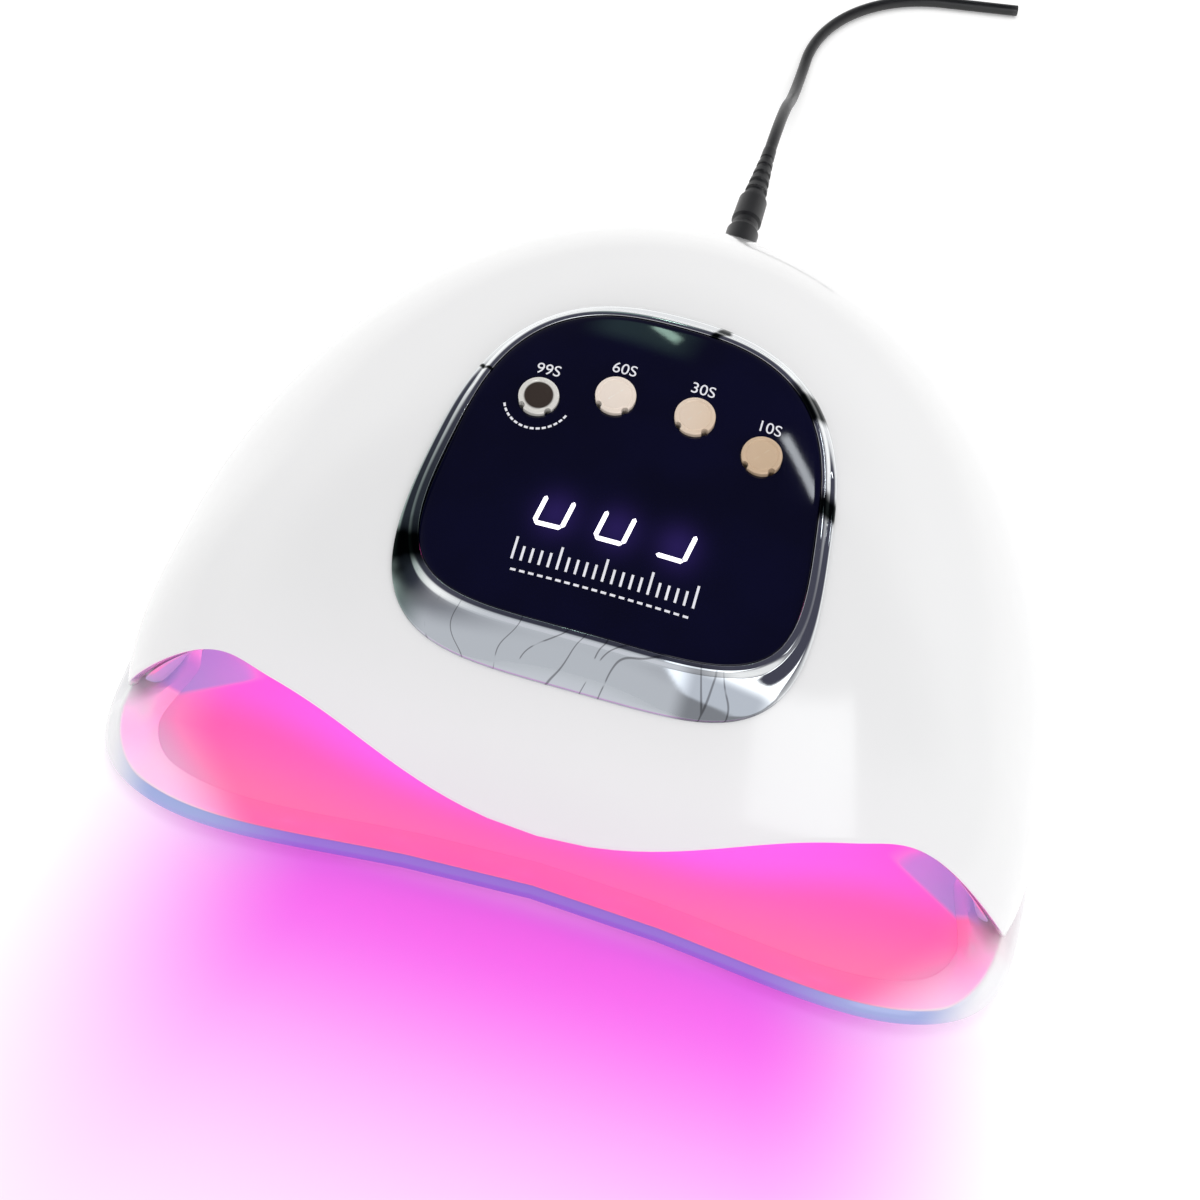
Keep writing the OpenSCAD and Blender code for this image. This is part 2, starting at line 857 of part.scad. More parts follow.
module strain_relief() {
    color([0.06, 0.06, 0.06])
        along_y(plug_y + plug_l, jack_z)
            rotate_extrude($fn = 48)
                polygon(concat(
                    [[0, 0], [plug_r - 1.1, 0]],
                    [for (i = [0 : 4]) each [
                        [plug_r - 1.3 - i * 0.28, 2.2 + i * 3.8], [plug_r - 2.0 - i * 0.2, 2.6 + i * 3.8],
                        [plug_r - 2.0 - i * 0.2, 3.9 + i * 3.8], [plug_r - 1.4 - i * 0.3, 4.3 + i * 3.8]]],
                    [[lead_r + 0.2, relief_l], [0, relief_l]]));
}

// Middle line of the lead: down to the table in an S, a bend to the right, a straight end
function lead_path() =
    let (y = lead_start_y + lead_run, step = lead_dip_a / 8, turn_step = lead_turn_a / 12,
        end_x = lead_bend_r * (1 - cos(lead_turn_a)) + lead_end_l * sin(lead_turn_a),
        end_y = y + lead_bend_r * sin(lead_turn_a) + lead_end_l * cos(lead_turn_a))
    concat(
        [for (t = [0 : step : lead_dip_a - step / 2])
            [0, lead_start_y + lead_dip_r * sin(t), jack_z - lead_dip_r * (1 - cos(t))]],
        [for (t = [lead_dip_a : -step : step / 2])
            [0, y - lead_dip_r * sin(t), lead_r + lead_dip_r * (1 - cos(t))]],
        [for (i = [0 : 12]) let (t = i * turn_step)
            [lead_bend_r * (1 - cos(t)), y + lead_bend_r * sin(t), lead_r]],
        [[end_x, end_y, lead_r]]);

module power_lead_cable() {
    color([0.06, 0.06, 0.06])
        in_lamp()
            wire(lead_path(), lead_r, [0, 0, 1], 16);
}

// ---- Tray ----

module tray_body() {
    inner = [for (a = angles) tray_rim_w(a) + tray_lean(a)];
    closed_skin(
        [
            tray_ring([for (w = inner) w + 1], [for (a = angles) tray_floor_z]),
            tray_ring(inner, [for (a = angles) tray_top(a) - 0.3]),
            tray_ring([for (a = angles) tray_lean(a) + 0.9], [for (a = angles) tray_top(a)]),
            tray_ring([for (a = angles) tray_lean(a)], [for (a = angles) tray_top(a) - 0.9]),
            tray_ring([for (a = angles) 0], [for (a = angles) foot_h + 1.6]),
            tray_ring([for (a = angles) 1.8], [for (a = angles) foot_h])],
        [0, -10, tray_floor_z],
        [0, -10, foot_h]);
}

module base_tray() {
    color("white")
        in_lamp()
            difference() {
                tray_body();
                at_angles(magnet_angles)
                    translate([0, 0, tray_rim_z - magnet_h - 0.2])
                        cylinder(r = magnet_r + 0.05, h = 5, $fn = 48);
            }
}

module tray_reflector() {
    outline = [for (a = angles) tray_plan(a, -tray_rim_w(a) - tray_lean(a) - 1.6)];
    color("silver")
        in_lamp()
            translate([0, 0, tray_floor_z])
                linear_extrude(0.5)
                    polygon(outline);
}

module tray_magnets() {
    color("gray")
        in_lamp()
            at_angles(magnet_angles)
                translate([0, 0, tray_rim_z - magnet_h - 0.2])
                    cylinder(r = magnet_r, h = magnet_h, $fn = 48);
}

module rubber_feet() {
    color("darkgray")
        in_lamp()
            for (f = feet)
                translate([f[0], f[1], 0])
                    cylinder(r = foot_r, h = foot_h, $fn = 64);
}

top_shell();
inner_liner();
bottom_frame();
shell_screws();
frame_magnets();
chrome_bezel();
panel_lens();
panel_carrier();
button_99s();
button_60s();
button_30s();
button_10s();
tact_switches();
control_board();
control_chip();
power_parts();
display_block();
display_segments();
board_screws();
led_boards();
led_emitters();
led_domes();
led_harness();
hand_sensors();
sensor_leads();
dc_jack();
dc_jack_pin();
dc_jack_nut();
power_leads();
base_tray();
tray_reflector();
tray_magnets();
rubber_feet();
dc_plug();
dc_plug_barrel();
strain_relief();
power_lead_cable();
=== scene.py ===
"""Looks of a dome-shaped curing lamp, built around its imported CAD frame.

Shapes and values come first, then mesh and shader tools, the finishes, the pieces from the
housing to the lead, and last the stage, the surroundings, the lamps and the camera.
"""

import json
import math

import bmesh
import bpy
import numpy as np
from mathutils import Matrix, Vector

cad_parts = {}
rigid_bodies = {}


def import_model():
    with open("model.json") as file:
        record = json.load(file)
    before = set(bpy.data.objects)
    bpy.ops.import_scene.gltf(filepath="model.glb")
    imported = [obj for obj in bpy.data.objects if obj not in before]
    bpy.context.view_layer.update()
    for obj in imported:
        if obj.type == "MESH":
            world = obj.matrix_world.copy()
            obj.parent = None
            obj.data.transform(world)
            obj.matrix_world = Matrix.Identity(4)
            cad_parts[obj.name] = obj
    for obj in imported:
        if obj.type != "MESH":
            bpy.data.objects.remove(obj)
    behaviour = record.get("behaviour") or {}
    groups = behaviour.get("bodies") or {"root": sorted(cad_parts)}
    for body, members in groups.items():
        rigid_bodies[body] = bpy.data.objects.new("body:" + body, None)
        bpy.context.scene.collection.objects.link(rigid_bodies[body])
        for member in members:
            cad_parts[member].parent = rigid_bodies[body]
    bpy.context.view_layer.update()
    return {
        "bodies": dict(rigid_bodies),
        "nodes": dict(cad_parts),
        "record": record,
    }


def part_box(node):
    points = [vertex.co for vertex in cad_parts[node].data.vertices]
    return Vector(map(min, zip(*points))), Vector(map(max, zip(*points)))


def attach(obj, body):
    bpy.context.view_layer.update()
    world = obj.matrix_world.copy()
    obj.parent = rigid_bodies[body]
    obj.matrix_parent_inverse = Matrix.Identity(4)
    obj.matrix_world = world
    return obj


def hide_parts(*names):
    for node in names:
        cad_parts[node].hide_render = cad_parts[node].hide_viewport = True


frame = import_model()

# Sizes and places below are millimetres in the lamp's own frame, angles are degrees
MM = 0.001
AROUND = 288

# Dome: plan of two half superellipses, superellipse in height
HALF_W, HEIGHT, NOSE_L, TAIL_L = 113.0, 92.0, 64.0, 137.0
NOSE_E, TAIL_E, CROWN_E = 3.47, 2.04, 2.02
MID_Y, APEX_Y, SHELL_T = -44.0, 4.3, 2.4
SIDE_Z, DIP_Z, LOBE_Z = 8.4, 36.0, 48.5
LOBE_S, CHEEK_S, CHEEK_E = 0.68, 0.97, 4.33
RIM_R, HOLE_INSET = 1.1, 2.0
CEILING_Z, LINER_T, SLIP, FRAME_W, TOP_INSET = 58.0, 1.6, 0.4, 9.0, 15.0
POST_ANGLES, POST_R, POST_BORE, POST_Z, POST_H, BOSS_INSET = (10, 50, 130, 170), 3.0, 1.5, 11.4, 8.6, 7.2

# Panel
GLASS_W, GLASS_L, CROWN, GLASS_T, GLASS_EDGE = 40.7, 37.6, 4.2, 2.2, -4.0
GLASS_FRONT_E, GLASS_BACK_E, TAPER = 4.0, 2.86, 0.11
TILT, PANEL_Y, PANEL_Z = 15.3, -33.4, 84.8
BEZEL_W, BEZEL_L, BEZEL_Y, BEZEL_FRONT_E, BEZEL_SEAT = 44.5, 43.1, -34.4, 4.1, 2.2
BUTTONS = {"99s": (-25.2, 11.2), "60s": (-8.97, 15.6), "30s": (8.97, 15.6), "10s": (25.2, 11.2)}
BUTTON_R, BUTTON_RISE, STEM_R, STEM_Z, CAP_FOOT = 4.5, 1.5, 1.8, -6.35, -1.6
NOTCH_ANGLES, NOTCH_R = (-47, -133), 0.85
DISPLAY_Y, DIGIT_PITCH, DIGIT_W, DIGIT_H, SEGMENT_W, SLANT = -10.8, 13.5, 7.65, 14.4, 1.5, 10.0
BAR_W, LABEL_SIZE, LABEL_UP = 1.0, 3.9, 7.4
TICKS, TICK_GAP, TICK_Y, DASH_Y, ARC_R = 21, 2.0, -24.6, -28.4, 7.6

# Socket, lead and tray
JACK_FACE_Y, JACK_Z, JACK_R, INLET_R, INLET_BACK_Y = 92.4, 24.0, 5.4, 7.6, 83.6
LEAD_R, LEAD_BEND, LEAD_TURN, LEAD_RUN, LEAD_END = 1.8, 50.0, 78.0, 74.0, 26.0
TRAY_W, TRAY_L, TRAY_E, TRAY_SAG, SAG_W = 113.6, 61.5, 5.9, 6.9, 90.7
TRAY_RIM_Z, LIP_Z, FLOOR_Z, LIP_W, FOOT_H, CHEEK_RISE = 8.2, 7.2, 4.6, 5.5, 2.0, 3.4
SHEET_T, FLOOR_LAP, RIM_FLAT, RIM_MORE, LEAN, LEAN_MORE = 0.5, 2.3, 0.9, 6.5, 1.2, 2.4

# Tray: shares of the way from the sides to the front between which its edge changes
CHEEK_FROM, LIP_FROM, DISH_FROM = (0.16, 0.36), (0.45, 0.75), (0.22, 0.5)
LEAN_FROM, LEAN_TO, RIM_TO = (0.0, 0.12), (0.3, 0.75), (0.05, 0.45)

# Tray: holes for its magnets
MAGNET_ANGLES, MAGNET_HOLE_R, MAGNET_HOLE_H = (0, 32, 148, 180), 3.25, 2.2

# Light on liner, tray and glass
MAGENTA, HOT, ROSE = (0.78, 0.15, 0.53), (0.80, 0.135, 0.34), (0.62, 0.17, 0.30)
LAVENDER, VIOLET, SKY = (0.32, 0.30, 0.52), (0.235, 0.12, 0.53), (0.26, 0.32, 0.56)
LINE_GREY = (0.50, 0.50, 0.52)
LINER_LIT, LINER_GLOW, FLOOR_GLOW, TRAY_GLOW = 0.8, 0.4, 0.4, 0.3
CHEEK_SHIFT, CHEEK_Y, CHEEK_SLOPE, CHEEK_FADE = 4.0, -80.0, 0.9, (112.0, 88.0)
PALE_X, PALE_Y, PALE_W, PALE_L = 94.0, -66.0, 17.0, 13.0
PALE_LINE, PALE_EDGE = (-0.6, -14.1), (-1.2, 0.8)
HALO, HALO_GLOW, HALO_DROP, HALO_SPREAD = (0.10, 0.05, 0.42), 0.16, 4.5, 22.0

# Ring, rim and caps: painted reflections on the ring, with painted shade on its left and at a front
# corner; a painted highlight and a painted violet shadow line on the rim; a painted warm reflection on the
# caps. A dark patch is a painted reflection, given as an angle round the panel and a half width, in
# radians
MIRRORED_DARK_PATCHES = ((-2.58, 0.13), (1.35, 0.05), (0.70, 0.13), (0.10, 0.10), (2.74, 0.025))
MIRRORED_PATCH_BLACK, PATCH_WOBBLE = (0.012, 0.016, 0.016), 0.22
MIRRORED_SHEET_GREY, MIRRORED_CREASE_GREY, CREASE_GAP, CREASE_L = (0.47, 0.50, 0.54), (0.20, 0.21, 0.23), 9.0, 30.0
PLAIN, LEFT_SHADE, CORNER_SHADE = (1.0, 1.0, 1.0), (0.30, 0.38, 0.35), (0.45, 0.45, 0.46)
RIM_HIGHLIGHT_BLUSH, RIM_SHADOW_VIOLET = (0.86, 0.62, 0.80), (0.26, 0.10, 0.34)
WHITE, WARM_REFLECTION, CAP_DARK = (0.80, 0.80, 0.805), (0.72, 0.60, 0.46), (0.045, 0.032, 0.026)

# Every finish: pointiness that wears, share that gloss varies by, depth of the skin in metres
WORN_EDGE, GLOSS_SPREAD, SKIN_DEPTH, COAT_ROUGH = (0.54, 0.60), 0.25, 0.0004, 0.04

# Floor: pool of light in front of the mouth
POOL_X, POOL_Y, POOL_REACH, POOL_SPREAD, POOL_STRENGTH = 3.0, -108.0, 62.0, 0.25, 0.92
POOL_SIDES, POOL_START = (128.0, 50.0), (-78.0, -104.0)
FLOOR_WHITE, POOL_MAGENTA = (0.95, 0.95, 0.95), (0.76, 0.085, 0.75)

# Surroundings: a streak is two directions, half its width, and its colour
DAYLIGHT, WALL_WHITE, CEILING_DARK, WINDOW = 0.87, (0.95, 0.95, 0.96), (0.07, 0.07, 0.10), (2.2, 2.25, 2.3)
STREAKS = (
    ((-0.26, 0.545, 0.79), (-0.05, 0.535, 0.845), 0.05, (0.35, 0.60, 0.50)),
    ((-0.14, 0.559, 0.818), (-0.077, 0.531, 0.844), 0.012, (6.0, 9.0, 7.5)),
    ((0.235, 0.365, 0.90), (0.363, 0.231, 0.903), 0.012, (9.0, 9.5, 10.0)))
CHAMBER_PIECES = ("liner_skin", "tray_skin", "tray_reflector", "led_domes", "led_boards")

# Camera: degrees, then distance, focal length and sensor's width in millimetres
AZ, EL, ROLL, DIST, FOCAL, SENSOR = 8.5, 55.23, 8.5, 450.0, 53.664, 36.0
AIM = (-5.4, -21.7, 18.7)

LAMP_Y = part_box("dc_jack")[1].y / MM - JACK_FACE_Y
LEAD_START_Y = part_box("strain_relief")[1].y / MM - LAMP_Y + 0.2

GLASS_R = (GLASS_W ** 2 + CROWN ** 2) / (2 * CROWN)
ANGLES = np.arange(AROUND) * 360.0 / AROUND


def cosd(a):
    return np.cos(np.radians(a))


def sind(a):
    return np.sin(np.radians(a))


def spow(v, e):
    """Power that keeps the sign."""
    return np.sign(v) * np.abs(v) ** e


def ease(v, a, b):
    """Smooth step of numbers from 0 at a to 1 at b."""
    t = np.clip((v - a) / (b - a), 0, 1)
    return t * t * (3 - 2 * t)


def points(x, y, z):
    """Array of points from three arrays or numbers."""
    return np.stack(np.broadcast_arrays(np.asarray(x, float), y, z), -1).copy()


# ---- Shape of the lamp ----

def plan(a, g=0.0):
    """Plan outline of the dome at angle a, grown by g."""
    front = sind(a) < 0
    e = np.where(front, 2 / NOSE_E, 2 / TAIL_E)
    length = np.where(front, NOSE_L, TAIL_L)
    return (HALF_W + g) * spow(cosd(a), e), MID_Y + (length + g) * spow(sind(a), e)


def rim_share(a):
    """How far angle a is from the middle of the mouth: 0 there, 1 at the sides and behind."""
    return np.where(sind(a) < 0, np.abs(cosd(a)) ** (2 / NOSE_E), 1.0)


def rim_z(a):
    """Height of the dome's rim at angle a: a wave over the mouth, level elsewhere."""
    s = rim_share(a)
    middle = DIP_Z + (LOBE_Z - DIP_Z) * np.sin(np.pi / 2 * s / LOBE_S) ** 2
    fall = np.clip((s - LOBE_S) / (CHEEK_S - LOBE_S), 0, 1)
    return np.where(s < LOBE_S, middle, SIDE_Z + (LOBE_Z - SIDE_Z) * (1 - fall ** CHEEK_E))


def dome(a, v, g=0.0):
    """Point of the dome at angle a and elevation angle v, grown by g."""
    k = np.maximum(cosd(v), 0) ** (2 / CROWN_E)
    x, y = plan(a, g)
    return points(x * k, APEX_Y + (y - APEX_Y) * k, (HEIGHT + g) * sind(v) ** (2 / CROWN_E))


def dome_v(z, g=0.0):
    """Elevation angle at which the dome grown by g has height z."""
    return np.degrees(np.arcsin(np.clip(z / (HEIGHT + g), 0, 1) ** (CROWN_E / 2)))


def dome_z(x, y):
    """Height of the dome above plan points, by halving."""
    lo, hi = np.full(np.shape(x), 0.01), np.full(np.shape(x), 1.2)
    for _ in range(34):
        k = (lo + hi) / 2
        ys = APEX_Y + (y - APEX_Y) / k
        front = ys < MID_Y
        e = np.where(front, NOSE_E, TAIL_E)
        length = np.where(front, NOSE_L, TAIL_L)
        out = (np.abs(x) / k / HALF_W) ** e + (np.abs(ys - MID_Y) / length) ** e > 1
        lo, hi = np.where(out, k, lo), np.where(out, hi, k)
    return HEIGHT * np.maximum(0, 1 - lo ** CROWN_E) ** (1 / CROWN_E)


def liner_inset(a, q):
    """Gap from the dome to the liner: thin over the mouth, as wide as the frame elsewhere."""
    side = np.where(sind(a) < 0, ease(rim_share(a), CHEEK_S - 0.02, 0.998), 1.0)
    rim = SHELL_T + SLIP + (FRAME_W - SLIP) * side
    return rim + (TOP_INSET - rim) * (1 - (1 - q) ** 2)


def liner(a, q, d):
    """Point of the chamber's liner at angle a, a share q of the way up, moved in by d."""
    zr, h = rim_z(a), HEIGHT - SHELL_T
    v0 = dome_v(zr, -SHELL_T)
    v = v0 + (90 - v0) * q
    k = np.maximum(cosd(v), 0) ** (2 / CROWN_E)
    z = h * sind(v) ** (2 / CROWN_E)
    x, y = plan(a, -liner_inset(a, q) - d)
    return points(x * k, APEX_Y + (y - APEX_Y) * k,
                  zr + (z - zr) * (CEILING_Z + LINER_T - d - zr) / (h - zr))


def tapered(a, front_e, half_w, half_l):
    """Outline of rounded halves in front and behind, narrower behind."""
    e = np.where(sind(a) < 0, 2 / front_e, 2 / GLASS_BACK_E)
    v = spow(sind(a), e)
    return half_w * spow(cosd(a), e) * (1 - TAPER * v), half_l * v


def glass(a, g=0.0):
    """Outline of the glass in the panel's plane, grown by g."""
    return tapered(a, GLASS_FRONT_E, GLASS_W + g, GLASS_L + g)


def bezel(a, g=0.0):
    """Outline of the chrome ring's foot in plan, grown by g."""
    x, y = tapered(a, BEZEL_FRONT_E, BEZEL_W + g, BEZEL_L + g)
    return x, BEZEL_Y + y


def crown(x, y, drop=0.0):
    """Height of the crowned glass over the panel's plane, or of its inside."""
    r = GLASS_R - drop
    return np.sqrt(r * r - x * x - y * y) - GLASS_R + CROWN


def on_panel(p):
    """Points of the tilted panel in the lamp's frame."""
    p = np.asarray(p, float)
    c, s = math.cos(math.radians(TILT)), math.sin(math.radians(TILT))
    return points(p[..., 0], PANEL_Y + p[..., 1] * c - p[..., 2] * s,
                  PANEL_Z + p[..., 1] * s + p[..., 2] * c)


def tray_plan(a, g=0.0):
    """Outline of the tray, grown by g: the dome's behind, a lip with a shallow bay in front."""
    xb, yb = plan(a, TRAY_W - HALF_W + g)
    x = (TRAY_W + g) * spow(cosd(a), 2 / TRAY_E)
    y = MID_Y + (TRAY_L + g) * spow(sind(a), 2 / TRAY_E)
    y = y + TRAY_SAG * np.maximum(0, 1 - (x / SAG_W) ** 2) ** 2
    back = sind(a) >= 0
    return np.where(back, xb, x), np.where(back, yb, y)


def front_share(a, lo, hi):
    """Rises from 0 to 1 between two shares of the way from the sides to the front."""
    return np.where(sind(a) < 0, ease(np.abs(sind(a)), lo, hi), 0.0)


def tray_top(a):
    """Height of the tray's rim: raised cheeks beside a low lip."""
    lip = front_share(a, *LIP_FROM)
    cheek = front_share(a, *CHEEK_FROM) * (1 - lip)
    return TRAY_RIM_Z + CHEEK_RISE * cheek + (LIP_Z - TRAY_RIM_Z) * lip


def tray_lean(a):
    """How far the tray's outer face leans in, most at the cheeks."""
    return LEAN + LEAN_MORE * front_share(a, *LEAN_FROM) * (1 - front_share(a, *LEAN_TO))


def tray_rim_w(a):
    return LIP_W + RIM_MORE * (1 - front_share(a, *RIM_TO))


# ---- Mesh tools ----

def soften(rings, radii, steps=4, closed=False):
    """Rounds a profile of rings: each ring with a radius becomes a short curve."""
    out = []
    n = len(rings)
    for i, (p, r) in enumerate(zip(rings, radii)):
        if not r or (not closed and i in (0, n - 1)):
            out.append(p)
            continue
        before, after = rings[i - 1] - p, rings[(i + 1) % n] - p
        lb = np.linalg.norm(before, axis=-1, keepdims=True)
        la = np.linalg.norm(after, axis=-1, keepdims=True)
        r = np.minimum(r, np.minimum(lb, la) * 0.49)
        s, e = p + before / lb * r, p + after / la * r
        for t in np.linspace(0, 1, steps + 1):
            out.append((1 - t) ** 2 * s + 2 * t * (1 - t) * p + t * t * e)
    return out


def between(a, b, n, bulge):
    """n rings between rings a and b, pushed out and up by bulge in the middle."""
    out = []
    for t in np.linspace(0, 1, n + 2)[1:-1]:
        p = a + (b - a) * t
        radial = p - p.mean(0)
        radial[:, 2] = 0
        radial /= np.linalg.norm(radial, axis=1, keepdims=True)
        out.append(p + bulge * math.sin(math.pi * t) * (radial + [0, 0, 1]) / math.sqrt(2))
    return out


def to_object(name, verts, faces, body, material, stands_for=(), slot=None, sharp=40):
    """Mesh from millimetre points in the lamp's frame, riding on a body."""
    mesh = bpy.data.meshes.new(name)
    verts = (np.asarray(verts, float) + [0, LAMP_Y, 0]) * MM
    mesh.from_pydata(verts.tolist(), [], [list(map(int, f)) for f in faces])
    bm = bmesh.new()
    bm.from_mesh(mesh)
    bmesh.ops.recalc_face_normals(bm, faces=bm.faces)
    bm.to_mesh(mesh)
    bm.free()
    mesh.shade_smooth()
    mesh.set_sharp_from_angle(angle=math.radians(sharp))
    obj = bpy.data.objects.new(name, mesh)
    bpy.context.scene.collection.objects.link(obj)
    if material:
        mesh.materials.append(material)
    if body:
        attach(obj, body)
    if stands_for:
        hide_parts(*stands_for)
    return obj


def loft_faces(count, n, closed=False, first=None, last=None, base=0):
    """Quads through count rings of n points, with fans to pole points if given."""
    faces = []
    for i in range(count if closed else count - 1):
        k = (i + 1) % count
        for j in range(n):
            m = (j + 1) % n
            faces.append((base + i * n + j, base + i * n + m, base + k * n + m, base + k * n + j))
    for pole, ring in ((first, 0), (last, count - 1)):
        if pole is not None:
            faces += [(pole, base + ring * n + j, base + ring * n + (j + 1) % n) for j in range(n)]
    return faces


def loft(name, rings, body, material, closed=False, poles=None, **kw):
    """Piece with a skin over rings, closed onto itself or by two poles."""
    n = len(rings[0])
    verts = np.concatenate(rings)
    first = last = None
    if poles is not None:
        first, last = len(verts), len(verts) + 1
        verts = np.concatenate([verts, np.array(poles, float)])
    return to_object(name, verts, loft_faces(len(rings), n, closed, first, last), body, material, **kw)


def tube(path, r, n=24):
    """Rings of a round tube along a path of points that sets off level."""
    path = np.asarray(path, float)
    step = np.gradient(path, axis=0)
    step /= np.linalg.norm(step, axis=1, keepdims=True)
    rings = []
    t = np.arange(n) * 2 * np.pi / n
    side = None
    for p, d in zip(path, step):
        side = np.cross(d, (0.0, 0.0, 1.0) if side is None else np.cross(side, d))
        side /= np.linalg.norm(side)
        rings.append(p + r * (np.cos(t)[:, None] * side + np.sin(t)[:, None] * np.cross(d, side)))
    return rings


def revolve(profile, n=64):
    """Rings of a turned part: profile is (radius, height) points, the axis is +Z."""
    a = np.arange(n) * 360.0 / n
    return [points(r * cosd(a), r * sind(a), np.full(n, z)) for r, z in profile]


def cylinder(centre, axis, r, length, n):
    """Closed cylinder as points and faces, for cutting."""
    axis = np.asarray(axis, float) / np.linalg.norm(axis)
    ref = np.array([0.0, 0, 1]) if abs(axis[2]) < 0.9 else np.array([1.0, 0, 0])
    u = np.cross(axis, ref)
    u /= np.linalg.norm(u)
    w = np.cross(axis, u)
    t = np.arange(n) * 2 * np.pi / n
    ring = np.asarray(centre, float) + r * (np.cos(t)[:, None] * u + np.sin(t)[:, None] * w)
    verts = np.concatenate([ring, ring + axis * length])
    faces = [list(range(n))[::-1], list(range(n, 2 * n))]
    faces += [(j, (j + 1) % n, n + (j + 1) % n, n + j) for j in range(n)]
    return verts, faces


def cut(obj, cylinders, sharp=40):
    """Cuts cylinders out of a piece's mesh, which keeps its one material."""
    verts, faces, base = [], [], 0
    for v, f in cylinders:
        verts.append(v)
        faces += [[i + base for i in face] for face in f]
        base += len(v)
    tool = to_object("tool", np.concatenate(verts), faces, None, None)
    mod = obj.modifiers.new("cut", "BOOLEAN")
    mod.object, mod.operation, mod.solver = tool, "DIFFERENCE", "EXACT"
    bpy.context.view_layer.update()
    deps = bpy.context.evaluated_depsgraph_get()
    mesh = bpy.data.meshes.new_from_object(obj.evaluated_get(deps))
    obj.modifiers.clear()
    material = obj.data.materials[0]
    obj.data = mesh
    mesh.materials.clear()
    mesh.materials.append(material)
    mesh.shade_smooth()
    mesh.set_sharp_from_angle(angle=math.radians(sharp))
    bpy.data.objects.remove(tool)


# ---- Shader tools ----

def feed(tree, socket, value):
    """Gives a socket a value, or links it to another node's output."""
    if isinstance(value, bpy.types.NodeSocket):
        tree.links.new(value, socket)
    elif socket.type == "RGBA":
        socket.default_value = (*value[:3], 1.0)
    else:
        socket.default_value = value


def node(tree, kind, inputs=None, **props):
    """Adds a shader node with its properties set and its inputs fed."""
    n = tree.nodes.new("ShaderNode" + kind)
    for key, value in props.items():
        setattr(n, key, value)
    for key, value in (inputs or {}).items():
        feed(tree, n.inputs[key], value)
    return n


def relink(tree, shader, socket, value):
    """Feeds a socket anew, without what it was linked to."""
    target = shader.inputs[socket]
    for link in list(target.links):
        tree.links.remove(link)
    feed(tree, target, value)


def math_node(tree, op, a, b=0.0, c=0.0, clamp=False):
    return node(tree, "Math", {0: a, 1: b, 2: c}, operation=op, use_clamp=clamp).outputs[0]


def plus(tree, a, b):
    return math_node(tree, "ADD", a, b)


def minus(tree, a, b):
    return math_node(tree, "SUBTRACT", a, b)


def times(tree, first, *others):
    for value in others:
        first = math_node(tree, "MULTIPLY", first, value)
    return first


def scaled(tree, a, factor, added):
    return math_node(tree, "MULTIPLY_ADD", a, factor, added)


def unsigned(tree, a):
    return math_node(tree, "ABSOLUTE", a)


def squares(tree, a, b):
    """Sum of two squares."""
    return plus(tree, times(tree, a, a), times(tree, b, b))


def mix(tree, share, a, b, blend="MIX"):
    return node(tree, "Mix", {0: share, 6: a, 7: b}, data_type="RGBA", blend_type=blend).outputs[2]


def tinted(tree, a, b):
    return mix(tree, 1.0, a, b, "MULTIPLY")


def smooth(tree, value, a, b):
    """Smooth step of a value from 0 at a to 1 at b."""
    ends = {0: value, 1: a, 2: b, 3: 0.0, 4: 1.0}
    return node(tree, "MapRange", ends, interpolation_type="SMOOTHSTEP").outputs[0]


def axes(tree, where):
    """Object position in millimetres of the lamp's frame, as three values."""
    s = node(tree, "SeparateXYZ", {0: where})
    x = math_node(tree, "DIVIDE", s.outputs[0], MM)
    y = scaled(tree, s.outputs[1], 1 / MM, -LAMP_Y)
    return x, y, math_node(tree, "DIVIDE", s.outputs[2], MM)


def facing(tree):
    """Normal's parts along the three axes."""
    return node(tree, "SeparateXYZ", {0: node(tree, "NewGeometry").outputs["Normal"]}).outputs


def finish(name, colour, rough, metal=0.0, coat=0.0, vary=0.06, blotch=45.0, grain=900.0,
           bump=0.02, wear=None, glow=(1.0, 1.0, 1.0), glow_strength=0.0, more=None):
    """Principled finish with drifting colour, uneven gloss, a fine skin and worn edges."""
    mat = bpy.data.materials.new(name)
    mat.use_nodes = True
    t = mat.node_tree
    t.nodes.clear()
    where = node(t, "TexCoord").outputs["Object"]
    drift = node(t, "TexNoise", {"Vector": where, "Scale": blotch, "Detail": 4.0}).outputs["Fac"]
    fine = node(t, "TexNoise", {"Vector": where, "Scale": grain, "Detail": 3.0}).outputs["Fac"]
    dark = [c * (1 - vary) for c in colour]
    light = [min(1.0, c * (1 + vary)) for c in colour]
    tint = mix(t, smooth(t, drift, 0.3, 0.7), dark, light)
    if wear:
        edge = node(t, "NewGeometry").outputs["Pointiness"]
        worn = times(t, smooth(t, edge, *WORN_EDGE), smooth(t, fine, 0.35, 0.6))
        tint = mix(t, worn, tint, wear)
    uneven = scaled(t, drift, 2 * rough * GLOSS_SPREAD, rough * (1 - GLOSS_SPREAD))
    skin = node(t, "Bump", {"Height": fine, "Strength": bump, "Distance": SKIN_DEPTH})
    shader = node(t, "BsdfPrincipled", {
        "Base Color": tint, "Roughness": uneven, "Metallic": metal, "Coat Weight": coat,
        "Coat Roughness": COAT_ROUGH, "Normal": skin.outputs[0],
        "Emission Color": glow, "Emission Strength": glow_strength})
    node(t, "OutputMaterial", {0: shader.outputs[0]})
    if more:
        more(t, where, shader, tint)
    return mat


# ---- Light that is part of the materials ----

def lit(tree, shader, tint, colour, amount, share):
    """Lets coloured light take over a surface: it tints the finish and adds a share of glow."""
    relink(tree, shader, "Base Color", mix(tree, amount, tint, colour))
    relink(tree, shader, "Emission Color", colour)
    relink(tree, shader, "Emission Strength", times(tree, amount, share))


